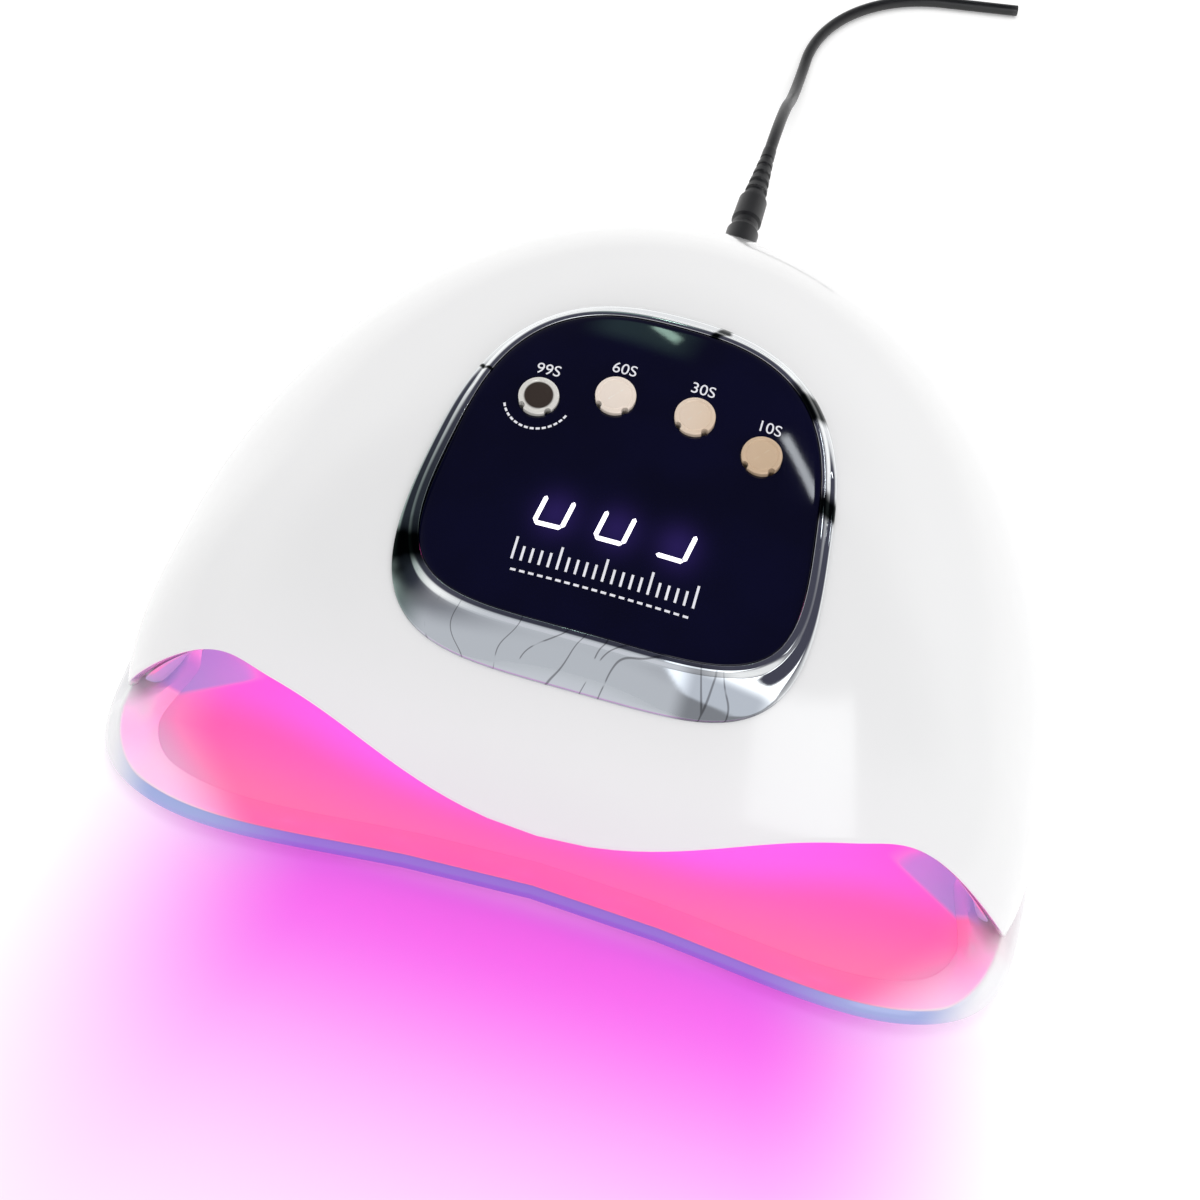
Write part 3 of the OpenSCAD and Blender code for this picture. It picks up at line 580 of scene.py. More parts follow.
def crescent(tree, across, y):
    """Share of the pale band that lies below the dome's lobes, outside a slanting line."""
    line = scaled(tree, across, *PALE_LINE)
    outside = smooth(tree, minus(tree, y, line), *PALE_EDGE)
    dx = math_node(tree, "DIVIDE", minus(tree, across, PALE_X), PALE_W)
    dy = math_node(tree, "DIVIDE", minus(tree, y, PALE_Y), PALE_L)
    return times(tree, outside, smooth(tree, squares(tree, dx, dy), 1.0, 0.3))


def between_cheeks(tree, x, y):
    """Share of the light that is left towards the cheeks: it fades sooner near the front."""
    across = unsigned(tree, minus(tree, x, CHEEK_SHIFT))
    ahead = math_node(tree, "MAXIMUM", minus(tree, CHEEK_Y, y), 0.0)
    return smooth(tree, scaled(tree, ahead, CHEEK_SLOPE, across), *CHEEK_FADE)


def liner_glow(tree, where, shader, tint):
    """Light on the chamber's inside: pink low down, magenta above, lavender at its front edges."""
    x, y, z = axes(tree, where)
    colour = mix(tree, smooth(tree, z, 14.0, 40.0), HOT, MAGENTA)
    edge = times(tree, smooth(tree, y, -62.0, -92.0), smooth(tree, z, 20.0, 34.0))
    colour = mix(tree, edge, colour, LAVENDER)
    foot = times(tree, smooth(tree, unsigned(tree, x), 88.0, 98.0), smooth(tree, z, 24.0, 18.0))
    lit(tree, shader, tint, mix(tree, foot, colour, LAVENDER), LINER_LIT, LINER_GLOW)


def floor_glow(tree, where, shader, tint):
    """Light on the tray's floor: magenta under the dome, pink and then rose towards the front."""
    x, y, z = axes(tree, where)
    across = unsigned(tree, x)
    deep = scaled(tree, smooth(tree, across, 80.0, 30.0), 9.0, y)
    colour = mix(tree, smooth(tree, deep, -66.0, -78.0), MAGENTA, HOT)
    colour = mix(tree, smooth(tree, y, -76.0, -94.0), colour, ROSE)
    pale = crescent(tree, across, y)
    reach = math_node(tree, "MAXIMUM", between_cheeks(tree, x, y), pale)
    lit(tree, shader, tint, mix(tree, pale, colour, LAVENDER), reach, FLOOR_GLOW)


def tray_glow(tree, where, shader, tint):
    """Light on the tray: rose inside the lip, violet on its outer face, sky blue at its corners."""
    x, y, z = axes(tree, where)
    across = unsigned(tree, x)
    normal = facing(tree)
    outer = smooth(tree, normal[1], -0.30, -0.62)
    face = mix(tree, smooth(tree, across, 52.0, 84.0), VIOLET, SKY)
    face = mix(tree, smooth(tree, z, 2.9, 2.3), face, LINE_GREY)
    pale = crescent(tree, across, y)
    colour = mix(tree, outer, mix(tree, pale, ROSE, LAVENDER), face)
    inner_reach = math_node(tree, "MAXIMUM", between_cheeks(tree, x, y), pale)
    reach = mix(tree, outer, inner_reach, smooth(tree, across, 107.0, 92.0))
    front = times(tree, smooth(tree, y, -58.0, -66.0), smooth(tree, normal[2], -0.5, -0.2))
    lit(tree, shader, tint, colour, times(tree, reach, front), TRAY_GLOW)


def digit_halo(tree, where, shader, tint):
    """Violet light that spreads in the glass round the lit figures."""
    x, y, z = axes(tree, where)
    centre_y = PANEL_Y + (DISPLAY_Y - HALO_DROP) * float(cosd(TILT))
    dy = minus(tree, y, centre_y)
    total = 0.0
    for i in (-1, 0, 1):
        dx = minus(tree, x, i * DIGIT_PITCH)
        spot = math_node(tree, "EXPONENT", times(tree, squares(tree, dx, dy), -1 / HALO_SPREAD))
        total = plus(tree, total, spot)
    relink(tree, shader, "Emission Color", HALO)
    relink(tree, shader, "Emission Strength", times(tree, total, HALO_GLOW))


# ---- What the plated and white parts show: painted reflections, light and shade, and the first button's dark middle ----

def creases(tree, where, x, py, z, fast):
    """Share of the thin creases in the mirrored sheet, a painted reflection: borders of cells, bent by a
    slow noise, broken off by a fast one.
    """
    slow = node(tree, "TexNoise", {"Vector": where, "Scale": 70.0, "Detail": 0.0}).outputs["Fac"]
    bend = scaled(tree, minus(tree, slow, 0.5), 2.2, times(tree, z, -0.03))
    along = plus(tree, bend, math_node(tree, "DIVIDE", x, CREASE_GAP))
    cells = node(tree, "CombineXYZ", {0: along, 1: math_node(tree, "DIVIDE", py, CREASE_L)}).outputs[0]
    border = node(tree, "TexVoronoi", {"Vector": cells, "Scale": 1.0, "Randomness": 0.8},
                  feature="DISTANCE_TO_EDGE", voronoi_dimensions="2D").outputs["Distance"]
    return times(tree, smooth(tree, border, 0.03, 0.008), smooth(tree, fast, 0.38, 0.46))


def mirrored_room(tree, where, shader, tint):
    """Painted reflection of what the ring mirrors: a grey sheet with creases in front, dark patches round
    it; painted shade on its left and at its front right corner.
    """
    x, y, z = axes(tree, where)
    py = minus(tree, y, PANEL_Y)
    fast = node(tree, "TexNoise", {"Vector": where, "Scale": 130.0, "Detail": 2.0}).outputs["Fac"]
    front = times(tree, smooth(tree, py, -34.5, -37.5), smooth(tree, unsigned(tree, x), 46.0, 38.0))
    colour = mix(tree, front, tint, MIRRORED_SHEET_GREY)
    crease = times(tree, front, creases(tree, where, x, py, z, fast))
    colour = mix(tree, crease, colour, MIRRORED_CREASE_GREY)
    angle = scaled(tree, minus(tree, fast, 0.5), PATCH_WOBBLE, math_node(tree, "ARCTAN2", py, x))
    # Dark patches round the ring: painted reflections
    for at, half in MIRRORED_DARK_PATCHES:
        off = unsigned(tree, minus(tree, angle, at))
        colour = mix(tree, smooth(tree, off, half, half * 0.3), colour, MIRRORED_PATCH_BLACK)
    left = times(tree, smooth(tree, x, -34.0, -42.0), smooth(tree, py, 24.0, -26.0))
    colour = tinted(tree, colour, mix(tree, left, PLAIN, LEFT_SHADE))
    corner = times(tree, smooth(tree, x, 20.0, 25.0), front)
    relink(tree, shader, "Base Color", tinted(tree, colour, mix(tree, corner, PLAIN, CORNER_SHADE)))


def rim_highlight_and_shadow(tree, where, shader, tint):
    """Painted light from the chamber on the rounded edge over the mouth, with a painted violet shadow line
    under it.
    """
    x, y, z = axes(tree, where)
    normal = facing(tree)
    mouth = times(tree, smooth(tree, y, -62.0, -72.0), smooth(tree, z, 13.0, 20.0))
    blush = times(tree, smooth(tree, normal[2], 0.16, 0.02), mouth)
    line = times(tree, smooth(tree, normal[2], -0.12, -0.22), mouth)
    colour = mix(tree, line, mix(tree, blush, tint, RIM_HIGHLIGHT_BLUSH), RIM_SHADOW_VIOLET)
    relink(tree, shader, "Base Color", colour)


def warm_reflection(tree, where, shader, tint):
    """Painted warm reflection on the caps' plating, growing from left to right."""
    x, y, z = axes(tree, where)
    warm = mix(tree, smooth(tree, x, -14.0, 27.0), PLAIN, WARM_REFLECTION)
    relink(tree, shader, "Base Color", tinted(tree, tint, warm))


def dark_middle(tree, where, shader, tint):
    """A bright rim round a dark pressed middle, on the first button."""
    x, y, z = axes(tree, where)
    bx, by = BUTTONS["99s"]
    centre = on_panel([bx, by, crown(bx, by) + BUTTON_RISE])
    dx = minus(tree, x, float(centre[0]))
    dy = times(tree, minus(tree, y, float(centre[1])), 1 / float(cosd(TILT)))
    distance = math_node(tree, "SQRT", squares(tree, dx, dy))
    middle = smooth(tree, distance, BUTTON_R - 1.0, BUTTON_R - 1.5)
    relink(tree, shader, "Base Color", mix(tree, middle, tint, CAP_DARK))


# ---- Finishes ----

FINISHES = {
    "white_shell": dict(colour=WHITE, rough=0.16, coat=0.7, vary=0.012, blotch=14, bump=0.012,
                        wear=(0.9, 0.9, 0.9), more=rim_highlight_and_shadow),
    "white_liner": dict(colour=(0.82, 0.80, 0.83), rough=0.3, vary=0.02, more=liner_glow),
    "white_tray": dict(colour=(0.84, 0.84, 0.86), rough=0.18, coat=0.5, vary=0.012, blotch=14,
                       bump=0.012, wear=(0.9, 0.9, 0.9), more=tray_glow),
    "reflector": dict(colour=(0.72, 0.62, 0.70), rough=0.35, vary=0.03, blotch=20, bump=0.01,
                      more=floor_glow),
    "chrome": dict(colour=(0.80, 0.82, 0.83), rough=0.06, metal=1.0, vary=0.02, grain=500, bump=0.01,
                   more=mirrored_room),
    "panel_glass": dict(colour=(0.0012, 0.0012, 0.012), rough=0.045, vary=0.2, bump=0.004,
                        more=digit_halo),
    "carrier": dict(colour=(0.10, 0.10, 0.11), rough=0.55, grain=1500, bump=0.25, wear=(0.2, 0.2, 0.2)),
    "button_metal": dict(colour=(0.88, 0.77, 0.68), rough=0.36, metal=0.15, vary=0.05, grain=2500,
                         bump=0.03, wear=(0.9, 0.86, 0.8), more=warm_reflection),
    "button_dark": dict(colour=(0.78, 0.76, 0.72), rough=0.25, metal=0.2, vary=0.04, grain=2500,
                        bump=0.02, wear=(0.9, 0.88, 0.85), more=dark_middle),
    "board": dict(colour=(0.02, 0.16, 0.06), rough=0.35, vary=0.2, blotch=200, grain=1400, bump=0.1,
                  wear=(0.25, 0.3, 0.16)),
    "led_board": dict(colour=(0.78, 0.80, 0.78), rough=0.4, vary=0.05, blotch=250, bump=0.08,
                      wear=(0.55, 0.5, 0.35)),
    "chip": dict(colour=(0.03, 0.03, 0.032), rough=0.5, vary=0.2, blotch=300, grain=2500, bump=0.3,
                 wear=(0.12, 0.12, 0.12)),
    "display_body": dict(colour=(0.06, 0.06, 0.07), rough=0.4, vary=0.15, bump=0.1,
                         wear=(0.15, 0.15, 0.15)),
    "display_light": dict(colour=(0.9, 0.9, 0.95), rough=0.4, vary=0.03, blotch=300,
                          glow=(0.92, 0.86, 1.0), glow_strength=1.3),
    "print_white": dict(colour=(0.62, 0.62, 0.66), rough=0.45, vary=0.08, blotch=300,
                        glow=(0.6, 0.6, 0.66), glow_strength=0.25),
    "led_lens": dict(colour=(0.8, 0.7, 0.95), rough=0.12, coat=0.4, vary=0.04, blotch=300,
                     glow=(1.0, 0.42, 0.92), glow_strength=2.6),
    "sensor": dict(colour=(0.03, 0.012, 0.04), rough=0.08, coat=0.6, vary=0.2, blotch=300),
    "steel": dict(colour=(0.56, 0.56, 0.57), rough=0.32, metal=1.0, vary=0.12, blotch=350, grain=2600,
                  bump=0.12, wear=(0.8, 0.8, 0.8)),
    "magnet": dict(colour=(0.66, 0.66, 0.67), rough=0.2, metal=1.0, vary=0.08, blotch=260, bump=0.05,
                   wear=(0.85, 0.85, 0.85)),
    "gold_contact": dict(colour=(0.80, 0.62, 0.28), rough=0.28, metal=1.0, vary=0.1, blotch=300,
                         bump=0.06, wear=(0.95, 0.85, 0.55)),
    "nickel": dict(colour=(0.74, 0.74, 0.75), rough=0.14, metal=1.0, vary=0.06, blotch=300, bump=0.03,
                   wear=(0.9, 0.9, 0.9)),
    "wire_grey": dict(colour=(0.50, 0.50, 0.52), rough=0.5, vary=0.1, blotch=200, bump=0.1),
    "wire_red": dict(colour=(0.50, 0.03, 0.03), rough=0.45, vary=0.1, blotch=200, bump=0.1),
    "foot_rubber": dict(colour=(0.14, 0.14, 0.145), rough=0.75, vary=0.15, blotch=300, grain=2600,
                        bump=0.35, wear=(0.25, 0.25, 0.25)),
    "lead_black": dict(colour=(0.007, 0.007, 0.008), rough=0.38, vary=0.2, blotch=150, grain=2200,
                       bump=0.12, wear=(0.06, 0.06, 0.06)),
}
MATERIALS = {name: finish(name, **values) for name, values in FINISHES.items()}

# Every CAD node that stays gets the finish of its slot
slots = {s["node"]: s["material_slot"] for s in frame["record"]["subparts"]}
for name, obj in frame["nodes"].items():
    obj.data.materials.clear()
    obj.data.materials.append(MATERIALS[slots[name]])


# ---- Housing ----

def hole_v(a, g, grow):
    """Elevation at which the dome grown by g meets the outline of the bezel grown by grow."""
    x, y = plan(a, g)
    lo, hi = np.zeros(len(a)), np.ones(len(a))
    for _ in range(44):
        k = (lo + hi) / 2
        v = (APEX_Y + (y - APEX_Y) * k - BEZEL_Y) / (BEZEL_L + grow)
        u = x * k / ((BEZEL_W + grow) * (1 - TAPER * v))
        e = np.where(v < 0, BEZEL_FRONT_E, GLASS_BACK_E)
        out = np.abs(u) ** e + np.abs(v) ** e > 1
        lo, hi = np.where(out, lo, k), np.where(out, k, hi)
    return np.degrees(np.arccos(np.clip(lo, 0, 1) ** (CROWN_E / 2)))


def shell_rings():
    """From the panel's hole down the outside, round the rim, and up the inside."""
    a = ANGLES
    rim_out, rim_in = dome_v(rim_z(a) + RIM_R), dome_v(rim_z(a) + RIM_R, -SHELL_T)
    top_out, top_in = hole_v(a, 0.0, -HOLE_INSET), hole_v(a, -SHELL_T, -HOLE_INSET)
    share = np.linspace(0, 1, 44)
    outer = [dome(a, top_out + (rim_out - top_out) * t) for t in share]
    inner = [dome(a, top_in + (rim_in - top_in) * t, -SHELL_T) for t in share[::-1]]
    down = outer[-1] - dome(a, rim_out + 1.0)
    down /= np.linalg.norm(down, axis=1, keepdims=True)
    middle, half = (outer[-1] + inner[0]) / 2, (outer[-1] - inner[0]) / 2
    turn = [middle + half * math.cos(t) + down * RIM_R * math.sin(t)
            for t in np.radians([30, 60, 90, 120, 150])]
    return outer + turn + inner


shell = loft("shell_skin", shell_rings(), "lamp", MATERIALS["white_shell"], closed=True,
             stands_for=["top_shell"], slot="white_shell", sharp=50)
cut(shell, [cylinder((0, INLET_BACK_Y - 3, JACK_Z), (0, 1, 0), JACK_R + 0.1, 20, 64)], sharp=50)


def inlet_ring():
    """Raised ring round the socket."""
    bore, depth = JACK_R + 0.1, JACK_FACE_Y - 0.2 - INLET_BACK_Y
    ring = revolve([(bore, 0.0), (INLET_R, 0.0), (INLET_R, depth), (bore, depth)], 96)
    ring = soften(ring, [0, 0.3, 0.7, 0.3], 4, closed=True)
    ring = [points(p[:, 0], INLET_BACK_Y + p[:, 2], JACK_Z - p[:, 1]) for p in ring]
    loft("inlet_ring", ring, "lamp", MATERIALS["white_shell"], closed=True, slot="white_shell")


def screw_posts(n=40):
    """Posts inside the dome that take the frame's screws."""
    verts, faces, base = [], [], 0
    for a in POST_ANGLES:
        x, y = plan(np.array([float(a)]), -BOSS_INSET)
        post = revolve([(POST_BORE, 0.0), (POST_R, 0.0), (POST_R, POST_H), (POST_BORE, POST_H)], n)
        post = soften(post, [0, 0.2, 0.2, 0], 2, closed=True)
        post = [p + [x[0], y[0], POST_Z] for p in post]
        faces += loft_faces(len(post), n, closed=True, base=base)
        verts += post
        base += n * len(post)
    to_object("screw_posts", np.concatenate(verts), faces, "lamp", MATERIALS["white_shell"],
              slot="white_shell")


inlet_ring()
screw_posts()


def liner_rings(count=30):
    """From the top down the outside of the liner, and up its inside."""
    rows = np.linspace(0, 0.985, count)
    outer = [liner(ANGLES, q, 0.0) for q in rows]
    inner = [liner(ANGLES, q, LINER_T) for q in rows]
    flat = [0] * (count - 1)
    return soften(outer[::-1] + inner, flat + [0.5, 0.5] + flat, 3)


loft("liner_skin", liner_rings(), "lamp", MATERIALS["white_liner"],
     poles=[(0, APEX_Y, CEILING_Z + LINER_T), (0, APEX_Y, CEILING_Z)],
     stands_for=["inner_liner"], slot="white_liner")


# ---- Control panel ----

# Angles gathered at the corners of the panel's outline
PANEL_ANGLES = ANGLES - 12 * sind(4 * ANGLES)


def glass_ring(g, rise, over_dome=None):
    """Ring over the glass's outline, kept above the dome if a height over it is given."""
    x, y = glass(PANEL_ANGLES, g)
    p = on_panel(points(x, y, crown(x, y) + rise))
    if over_dome is not None:
        p[:, 2] = np.maximum(p[:, 2], dome_z(p[:, 0], p[:, 1]) + over_dome)
    return p


def foot_ring(g, rise):
    """Ring over the chrome ring's foot, at a height over the dome."""
    x, y = bezel(PANEL_ANGLES, g)
    return points(x, y, dome_z(x, y) + rise)


def bezel_rings(count=8):
    """Up along the glass, over the lip, down the face, and back under the foot."""
    gap, seam = 0.06, 0.08
    x, y = glass(PANEL_ANGLES, gap)
    lip = [on_panel(points(x, y, np.full(AROUND, -7.0))), glass_ring(gap, 0.35, 1.3),
           glass_ring(1.2, 0.5, 1.5), glass_ring(2.1, -0.5, 1.2)]
    foot = [foot_ring(0, 0.9), foot_ring(0, seam), foot_ring(-BEZEL_SEAT, seam),
            foot_ring(-BEZEL_SEAT, -3.05)]
    face = between(lip[-1], foot[0], count, 0.4)
    radii = [0, 0.25, 0.5, 0.3] + [0] * count + [0.3, 0.15, 0, 0]
    return soften(lip + face + foot, radii, 4, closed=True)


loft("bezel_chrome", bezel_rings(), "lamp", MATERIALS["chrome"], closed=True,
     stands_for=["chrome_bezel"], slot="chrome", sharp=60)


def glass_rings(count=26):
    """Over the crowned top, down the edge, and back under the glass."""
    x, y = glass(PANEL_ANGLES)
    xi, yi = glass(PANEL_ANGLES, -GLASS_T)
    rows = np.linspace(0.04, 1, count)
    top = [on_panel(points(x * s, y * s, crown(x * s, y * s))) for s in rows]
    low = [on_panel(points(xi * s, yi * s, crown(xi * s, yi * s, GLASS_T))) for s in rows[::-1]]
    wall = [on_panel(points(u, v, np.full(AROUND, GLASS_EDGE))) for u, v in ((x, y), (xi, yi))]
    return soften(top + wall + low, [0] * (count - 1) + [0.3, 0.15, 0.15] + [0] * count, 4)


lens = loft("panel_glass", glass_rings(), "lamp", MATERIALS["panel_glass"],
            poles=[on_panel([0, 0, CROWN]), on_panel([0, 0, CROWN - GLASS_T])],
            stands_for=["panel_lens"], slot="panel_glass")
panel_up = on_panel([0, 0, 1]) - on_panel([0, 0, 0])
cut(lens, [cylinder(on_panel([bx, by, -8]), panel_up, BUTTON_R + 0.1, 20, 64)
           for bx, by in BUTTONS.values()])


def cap(label, material):
    """Button cap with its stem, a groove round its dished top, and two notches in its edge."""
    bx, by = BUTTONS[label]
    top = crown(bx, by) + BUTTON_RISE
    stem = [(STEM_R - 0.2, STEM_Z), (STEM_R, STEM_Z + 0.2), (STEM_R, CAP_FOOT)]
    rim = [(BUTTON_R, CAP_FOOT), (BUTTON_R, top - 0.05), (BUTTON_R - 0.75, top + 0.02)]
    groove = [(BUTTON_R - 1.0, top - 0.16), (BUTTON_R - 1.25, top)]
    dish = [(2.2, top + 0.12), (0.3, top + 0.15)]
    rings = revolve(stem + rim + groove + dish, 96)
    rings = soften(rings, [0, 0.1, 0.1, 0.2, 0.55, 0.12, 0.1, 0.1, 0.3, 0], 4)
    rings = [on_panel(p + [bx, by, 0]) for p in rings]
    poles = [on_panel([bx, by, STEM_Z]), on_panel([bx, by, top + 0.15])]
    piece = loft("cap_" + label, rings, "button_" + label, material, poles=poles,
                 stands_for=["button_" + label], slot="button_metal")
    notches = [on_panel([bx + BUTTON_R * cosd(a), by + BUTTON_R * sind(a), CAP_FOOT - 1])
               for a in NOTCH_ANGLES]
    cut(piece, [cylinder(p, panel_up, NOTCH_R, 8, 32) for p in notches])


for label in BUTTONS:
    cap(label, MATERIALS["button_dark" if label == "99s" else "button_metal"])


def on_glass(name, shapes, material, thick):
    """Thin raised print on the glass: shapes are outlines in the panel's plane."""
    verts, faces, base = [], [], 0
    for shape in shapes:
        x, y = np.array(shape, float).T
        n = len(x)
        verts += [on_panel(points(x, y, crown(x, y) + rise)) for rise in (0.01, 0.01 + thick)]
        faces += [list(range(base, base + n)), list(range(base + n, base + 2 * n))]
        faces += [(base + j, base + (j + 1) % n, base + n + (j + 1) % n, base + n + j) for j in range(n)]
        base += 2 * n
    to_object(name, np.concatenate(verts), faces, "lamp", material, slot="display_light", sharp=30)


def turned(outline, cx, cy, turn):
    c, s = float(cosd(turn)), float(sind(turn))
    return [(cx + c * x - s * y, cy + s * x + c * y) for x, y in outline]


def pointed_bar(cx, cy, length, width, turn):
    h, w = length / 2, width / 2
    return turned([(-h, 0), (-h + w, w), (h - w, w), (h, 0), (h - w, -w), (-h + w, -w)], cx, cy, turn)


def dash(cx, cy, length, width, turn):
    h, w = length / 2, width / 2
    return turned([(-h, w), (h, w), (h, -w), (-h, -w)], cx, cy, turn)


def figure(cx, lit_bars):
    """Lit bars of one figure of the display: only its lower half is ever lit."""
    half = (DIGIT_H - SEGMENT_W) / 2
    wide = DIGIT_W - SEGMENT_W
    shift = half * math.tan(math.radians(SLANT))
    bars = {
        "left": (-wide / 2 - shift / 2, -half / 2, half - 0.1, 90 - SLANT),
        "bottom": (-shift, -half, wide - 0.1, 0),
        "right": (wide / 2 - shift / 2, -half / 2, half - 0.1, 90 - SLANT)}
    places = [bars[k] for k in lit_bars]
    return [pointed_bar(cx + x, DISPLAY_Y + y, length, BAR_W, turn) for x, y, length, turn in places]


def scale_print():
    """A plain scale of ticks, a dashed line under it, and a dashed arc under the first button."""
    start = -TICK_GAP * (TICKS - 1) / 2
    marks = []
    for i in range(TICKS):
        long = i % 5 == 0
        marks.append(dash(start + i * TICK_GAP, TICK_Y + 0.9 * long, 5.0 if long else 3.2, 0.55, 90))
    marks += [dash(start + (i + 0.5) * TICK_GAP, DASH_Y, 1.2, 0.5, 0) for i in range(TICKS - 1)]
    bx, by = BUTTONS["99s"]
    marks += [dash(bx + ARC_R * cosd(a), by + ARC_R * sind(a), 0.9, 0.5, a + 90)
              for a in range(205, 336, 10)]
    on_glass("scale_print", marks, MATERIALS["print_white"], 0.03)


def label_print(label):
    """Number of seconds behind a button, as a thin raised print."""
    bx, by = BUTTONS[label]
    curve = bpy.data.curves.new("text", "FONT")
    curve.body = label.upper()
    curve.size, curve.align_x, curve.align_y = LABEL_SIZE, "CENTER", "CENTER"
    curve.extrude = 0.015
    text = bpy.data.objects.new("text", curve)
    bpy.context.scene.collection.objects.link(text)
    bpy.context.view_layer.update()
    mesh = bpy.data.meshes.new_from_object(text.evaluated_get(bpy.context.evaluated_depsgraph_get()))
    p = np.array([v.co for v in mesh.vertices], float)
    faces = [list(f.vertices) for f in mesh.polygons]
    bpy.data.objects.remove(text)
    x, y = p[:, 0] + bx, p[:, 1] + by + LABEL_UP
    to_object("label_" + label, on_panel(points(x, y, crown(x, y) + 0.025 + p[:, 2])), faces, "lamp",
              MATERIALS["print_white"], slot="display_light", sharp=30)


U_SHAPE = ("left", "bottom", "right")
bars = figure(-DIGIT_PITCH, U_SHAPE) + figure(0, U_SHAPE) + figure(DIGIT_PITCH, ("bottom", "right"))
on_glass("lit_bars", bars, MATERIALS["display_light"], 0.05)
scale_print()
for label in BUTTONS:
    label_print(label)


# ---- Tray ----

def tray_ring(inset, z):
    x, y = tray_plan(ANGLES, -inset)
    return points(x, y, np.broadcast_to(z, ANGLES.shape))


def tray_slope(foot, crest, low, top, count=8):
    """Rings from the floor up to the rim: a dished slope in front, a wall and a ledge elsewhere."""
    dished = front_share(ANGLES, *DISH_FROM)
    rings = []
    for t in np.linspace(0.12, 0.9, count):
        wall = np.interp(t, [0, 0.35], [0, 1])
        ledge = np.interp(t, [0.35, 1], [0, 1])
        slope_in = foot + (crest - foot) * t
        wall_in = foot - FLOOR_LAP * wall + (crest - foot + FLOOR_LAP) * ledge
        rise = t ** 1.8 * dished + (1 - dished) * wall * 0.94
        rings.append(tray_ring(slope_in * dished + (1 - dished) * wall_in, low + (top - low) * rise))
    return rings


def tray_rings():
    """From the middle of the floor out under the reflector's edge, over the rim, and down outside."""
    lean, top = tray_lean(ANGLES), tray_top(ANGLES)
    foot = tray_rim_w(ANGLES) + lean + FLOOR_LAP
    crest, sheet_z = lean + RIM_FLAT, FLOOR_Z + SHEET_T
    floor = [tray_ring(foot - 1.3, FLOOR_Z), tray_ring(foot - 1.3, sheet_z + 0.02),
             tray_ring(foot, sheet_z + 0.04), tray_ring(foot, sheet_z + 0.2)]
    slope = tray_slope(foot, crest, sheet_z + 0.2, top)
    outside = [tray_ring(crest, top), tray_ring(lean, top - RIM_FLAT),
               tray_ring(lean * 0.35, (top + FOOT_H) / 2 + 0.6), tray_ring(0.0, FOOT_H + 1.6),
               tray_ring(1.8, FOOT_H)]
    radii = [0, 0, 0, 0.08] + [0] * len(slope) + [0.6, 0.5, 1.6, 0.8, 0]
    return soften(floor + slope + outside, radii, 5)


def magnet_pocket(a):
    x, y = plan(np.array([float(a)]), -BOSS_INSET)
    return cylinder((x[0], y[0], TRAY_RIM_Z - MAGNET_HOLE_H), (0, 0, 1), MAGNET_HOLE_R, 6, 48)


tray = loft("tray_skin", tray_rings(), "base", MATERIALS["white_tray"],
            poles=[(0, -10, FLOOR_Z), (0, -10, FOOT_H)],
            stands_for=["base_tray"], slot="white_shell", sharp=60)
cut(tray, [magnet_pocket(a) for a in MAGNET_ANGLES], sharp=60)


# ---- Lead ----

def lead_path():
    """From the socket's height down to the floor in two arcs, then round a level bend."""
    drop = JACK_Z - LEAD_R
    dip = 2 * math.degrees(math.atan(drop / LEAD_RUN))
    r = LEAD_RUN / 2 / math.sin(math.radians(dip))
    y = LEAD_START_Y + LEAD_RUN
    path = [(0, LEAD_START_Y + r * sind(t), JACK_Z - r * (1 - cosd(t))) for t in np.linspace(0, dip, 24)]
    path += [(0, y - r * sind(t), LEAD_R + r * (1 - cosd(t))) for t in np.linspace(dip, 0, 24)[1:]]
    path += [(LEAD_BEND * (1 - cosd(t)), y + LEAD_BEND * sind(t), LEAD_R)
             for t in np.linspace(0, LEAD_TURN, 36)[1:]]
    bent = path[-1]
    path += [(bent[0] + s * sind(LEAD_TURN), bent[1] + s * cosd(LEAD_TURN), LEAD_R)
             for s in np.linspace(0, LEAD_END, 10)[1:]]
    return path


path = lead_path()
loft("lead_skin", tube(path, LEAD_R), "plug", MATERIALS["lead_black"], poles=[path[0], path[-1]],
     stands_for=["power_lead_cable"], slot="lead_black", sharp=60)


# ---- Stage ----

def floor_material():
    """White, with a magenta pool of light in front of the mouth that fades away from it."""
    mat = bpy.data.materials.new("floor")
    mat.use_nodes = True
    t = mat.node_tree
    t.nodes.clear()
    x, y, z = axes(t, node(t, "TexCoord").outputs["Object"])
    ahead = math_node(t, "MAXIMUM", minus(t, POOL_Y, y), 0.0)
    far = math_node(t, "POWER", math_node(t, "DIVIDE", ahead, POOL_REACH), 2.0)
    fade = math_node(t, "DIVIDE", POOL_STRENGTH, plus(t, far, 1.0))
    across = scaled(t, ahead, -POOL_SPREAD, unsigned(t, minus(t, x, POOL_X)))
    pool = times(t, fade, smooth(t, across, *POOL_SIDES))
    pool = math_node(t, "MULTIPLY", pool, smooth(t, y, *POOL_START), clamp=True)
    colour = mix(t, pool, FLOOR_WHITE, POOL_MAGENTA)
    diffuse = node(t, "BsdfDiffuse", {"Color": colour})
    lift = node(t, "Emission", {"Color": colour, "Strength": 0.2})
    both = node(t, "AddShader", {0: diffuse.outputs[0], 1: lift.outputs[0]})
    node(t, "OutputMaterial", {0: both.outputs[0]})
    return mat


def stage_floor(half, z):
    """Square floor, half a side wide and at height z, in metres."""
    mesh = bpy.data.meshes.new("floor")
    mesh.from_pydata([(-half, -half, z), (half, -half, z), (half, half, z), (-half, half, z)], [],
                     [(0, 1, 2, 3)])
    mesh.materials.append(floor_material())
    obj = bpy.data.objects.new("floor", mesh)
    bpy.context.scene.collection.objects.link(obj)


# ---- Surroundings: what shiny surfaces mirror, by direction ----

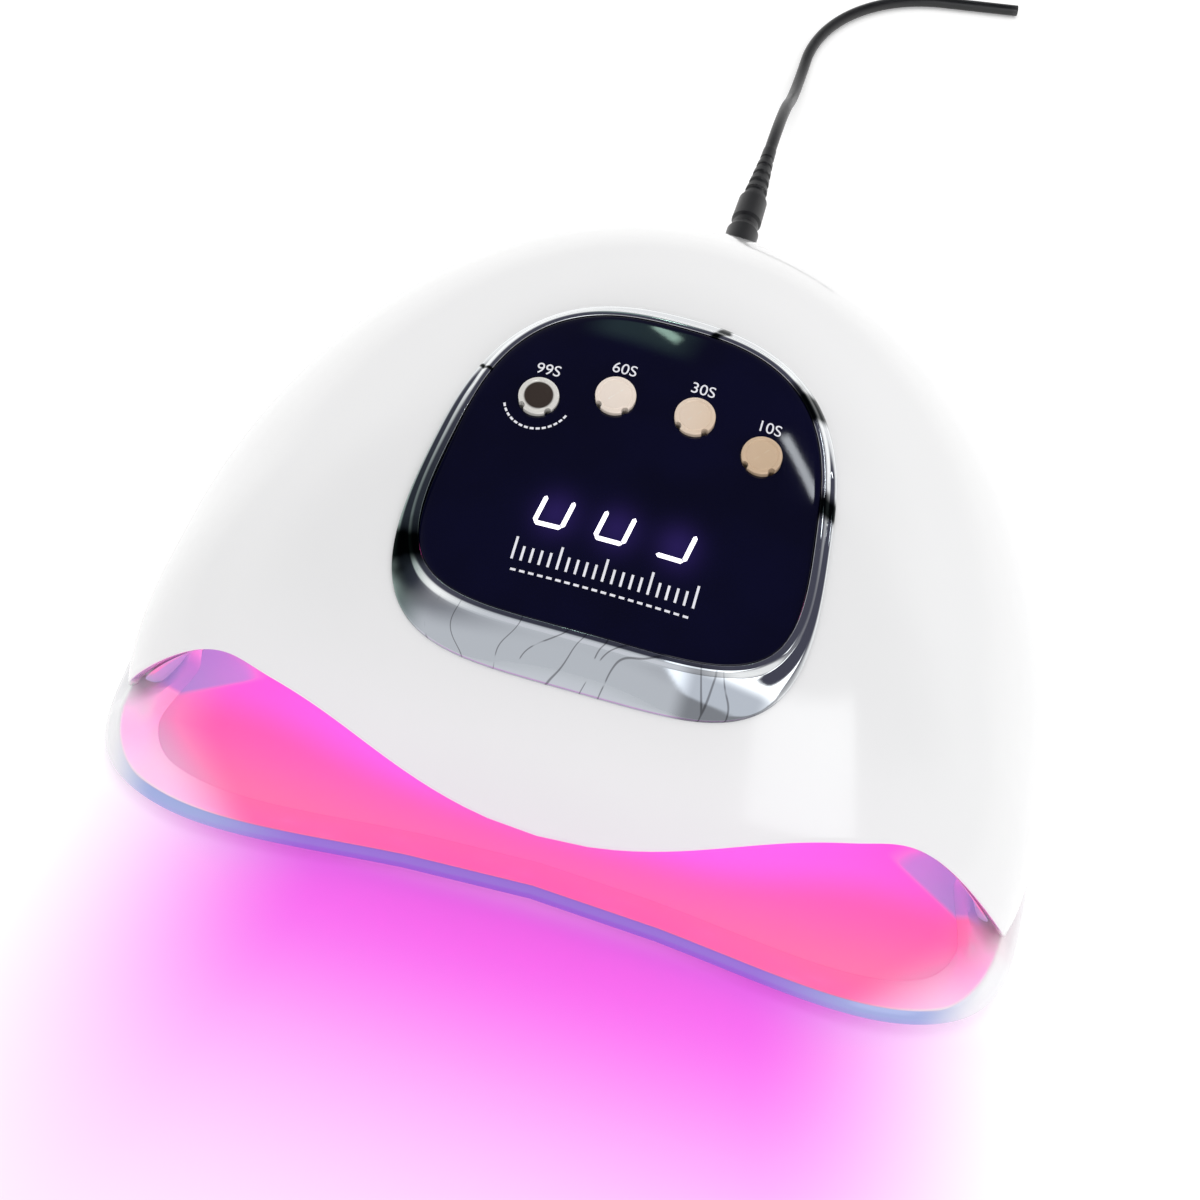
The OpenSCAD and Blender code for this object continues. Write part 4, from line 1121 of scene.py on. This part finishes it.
def streak(tree, d, sky, start, end, half, colour):
    """Adds a bright band to the mirrored surroundings, between two directions."""
    a, b = Vector(start).normalized(), Vector(end).normalized()
    along = (b - a).normalized()
    off = a.cross(b).normalized()
    direction = node(tree, "CombineXYZ", {0: d[0], 1: d[1], 2: d[2]}).outputs[0]
    place = node(tree, "VectorMath", {0: direction, 1: along}, operation="DOT_PRODUCT")
    across = node(tree, "VectorMath", {0: direction, 1: off}, operation="DOT_PRODUCT")
    middle = (a.dot(along) + b.dot(along)) / 2
    reach = (b.dot(along) - a.dot(along)) / 2
    wide = smooth(tree, unsigned(tree, across.outputs["Value"]), half * 1.6, half * 0.5)
    from_middle = unsigned(tree, minus(tree, place.outputs["Value"], middle))
    long = smooth(tree, from_middle, reach + half, reach - half)
    return mix(tree, times(tree, wide, long, smooth(tree, d[2], 0.5, 0.6)), sky, colour)


def window_share(tree, d):
    """Share of a window to the front right, with soft edges."""
    sides = times(tree, smooth(tree, d[0], 0.12, 0.16), smooth(tree, d[0], 0.50, 0.45))
    heights = (smooth(tree, d[2], 0.26, 0.32), smooth(tree, d[2], 0.84, 0.78))
    return times(tree, sides, *heights, smooth(tree, d[1], -0.1, -0.2))


def world():
    """White all round; shiny surfaces see a darker ceiling with a doorway, a lamp and a window."""
    w = bpy.data.worlds.new("studio")
    bpy.context.scene.world = w
    w.use_nodes = True
    t = w.node_tree
    t.nodes.clear()
    d = node(t, "SeparateXYZ", {0: node(t, "TexCoord").outputs["Generated"]}).outputs
    sky = mix(t, smooth(t, d[2], 0.25, 0.85), WALL_WHITE, CEILING_DARK)
    for band in STREAKS:
        sky = streak(t, d, sky, *band)
    sky = mix(t, window_share(t, d), sky, WINDOW)
    ray = node(t, "LightPath").outputs
    plain = node(t, "Background", {"Color": PLAIN, "Strength": DAYLIGHT})
    seen = node(t, "Background", {"Color": PLAIN, "Strength": 1.0})
    shine = node(t, "Background", {"Color": sky, "Strength": 1.0})
    lighting = node(t, "MixShader", {0: ray["Is Glossy Ray"], 1: plain.outputs[0], 2: shine.outputs[0]})
    both = node(t, "MixShader", {0: ray["Is Camera Ray"], 1: lighting.outputs[0], 2: seen.outputs[0]})
    node(t, "OutputWorld", {0: both.outputs[0]})


# ---- Lamps ----

def area(name, place, target, size, power, colour):
    """Area lamp at a place, turned to a target, that isn't itself seen or mirrored."""
    light = bpy.data.lights.new(name, "AREA")
    light.shape, light.size, light.size_y = "RECTANGLE", size[0] * MM, size[1] * MM
    light.energy, light.color = power, colour
    obj = bpy.data.objects.new(name, light)
    bpy.context.scene.collection.objects.link(obj)
    shift = Vector((0, LAMP_Y, 0))
    at = (Vector(place) + shift) * MM
    to = (Vector(target) + shift) * MM
    obj.location = at
    obj.rotation_mode = "QUATERNION"
    obj.rotation_quaternion = (to - at).to_track_quat("-Z", "Y")
    obj.visible_camera = False
    obj.visible_glossy = False
    return obj


def chamber_lamps():
    """Magenta lamps that move with the dome and light only the chamber and the tray."""
    chamber = bpy.data.collections.new("chamber")
    for name in CHAMBER_PIECES:
        chamber.objects.link(bpy.data.objects.get(name) or frame["nodes"][name])
    for i, x in enumerate((-55, 0, 55)):
        lamp = area("uv_%d" % i, (x, -40, 44), (x, -70, 5), (40, 50), 0.030, (1.0, 0.10, 0.72))
        lamp.parent = frame["bodies"]["lamp"]
        lamp.light_linking.receiver_collection = chamber


# ---- Camera ----

def place_camera():
    """Camera that looks at AIM from azimuth AZ and elevation EL, rolled by ROLL."""
    camera = bpy.data.cameras.new("camera")
    camera.sensor_width, camera.lens = SENSOR, FOCAL
    camera.clip_start, camera.clip_end = 0.01, 50.0
    view = bpy.data.objects.new("camera", camera)
    bpy.context.scene.collection.objects.link(view)
    back = Vector((sind(AZ) * cosd(EL), -cosd(AZ) * cosd(EL), sind(EL)))
    level = (-back).cross(Vector((0, 0, 1))).normalized()
    upright = level.cross(-back).normalized()
    c, s = float(cosd(ROLL)), float(sind(ROLL))
    columns = (level * c + upright * s, upright * c - level * s, back)
    place = (Vector(AIM) + Vector((0, LAMP_Y, 0)) + back * DIST) * MM
    view.matrix_world = Matrix.Translation(place) @ Matrix(columns).transposed().to_4x4()
    bpy.context.scene.camera = view


stage_floor(4.0, -0.0002)
world()
area("key", (-50, 260, 1000), (0, -20, 40), (600, 600), 1.5, (1, 0.99, 0.97))
area("fill", (600, -500, 600), (0, -20, 40), (400, 400), 1.0, (0.97, 0.98, 1))
chamber_lamps()
place_camera()
bpy.context.scene.view_settings.view_transform = "Standard"
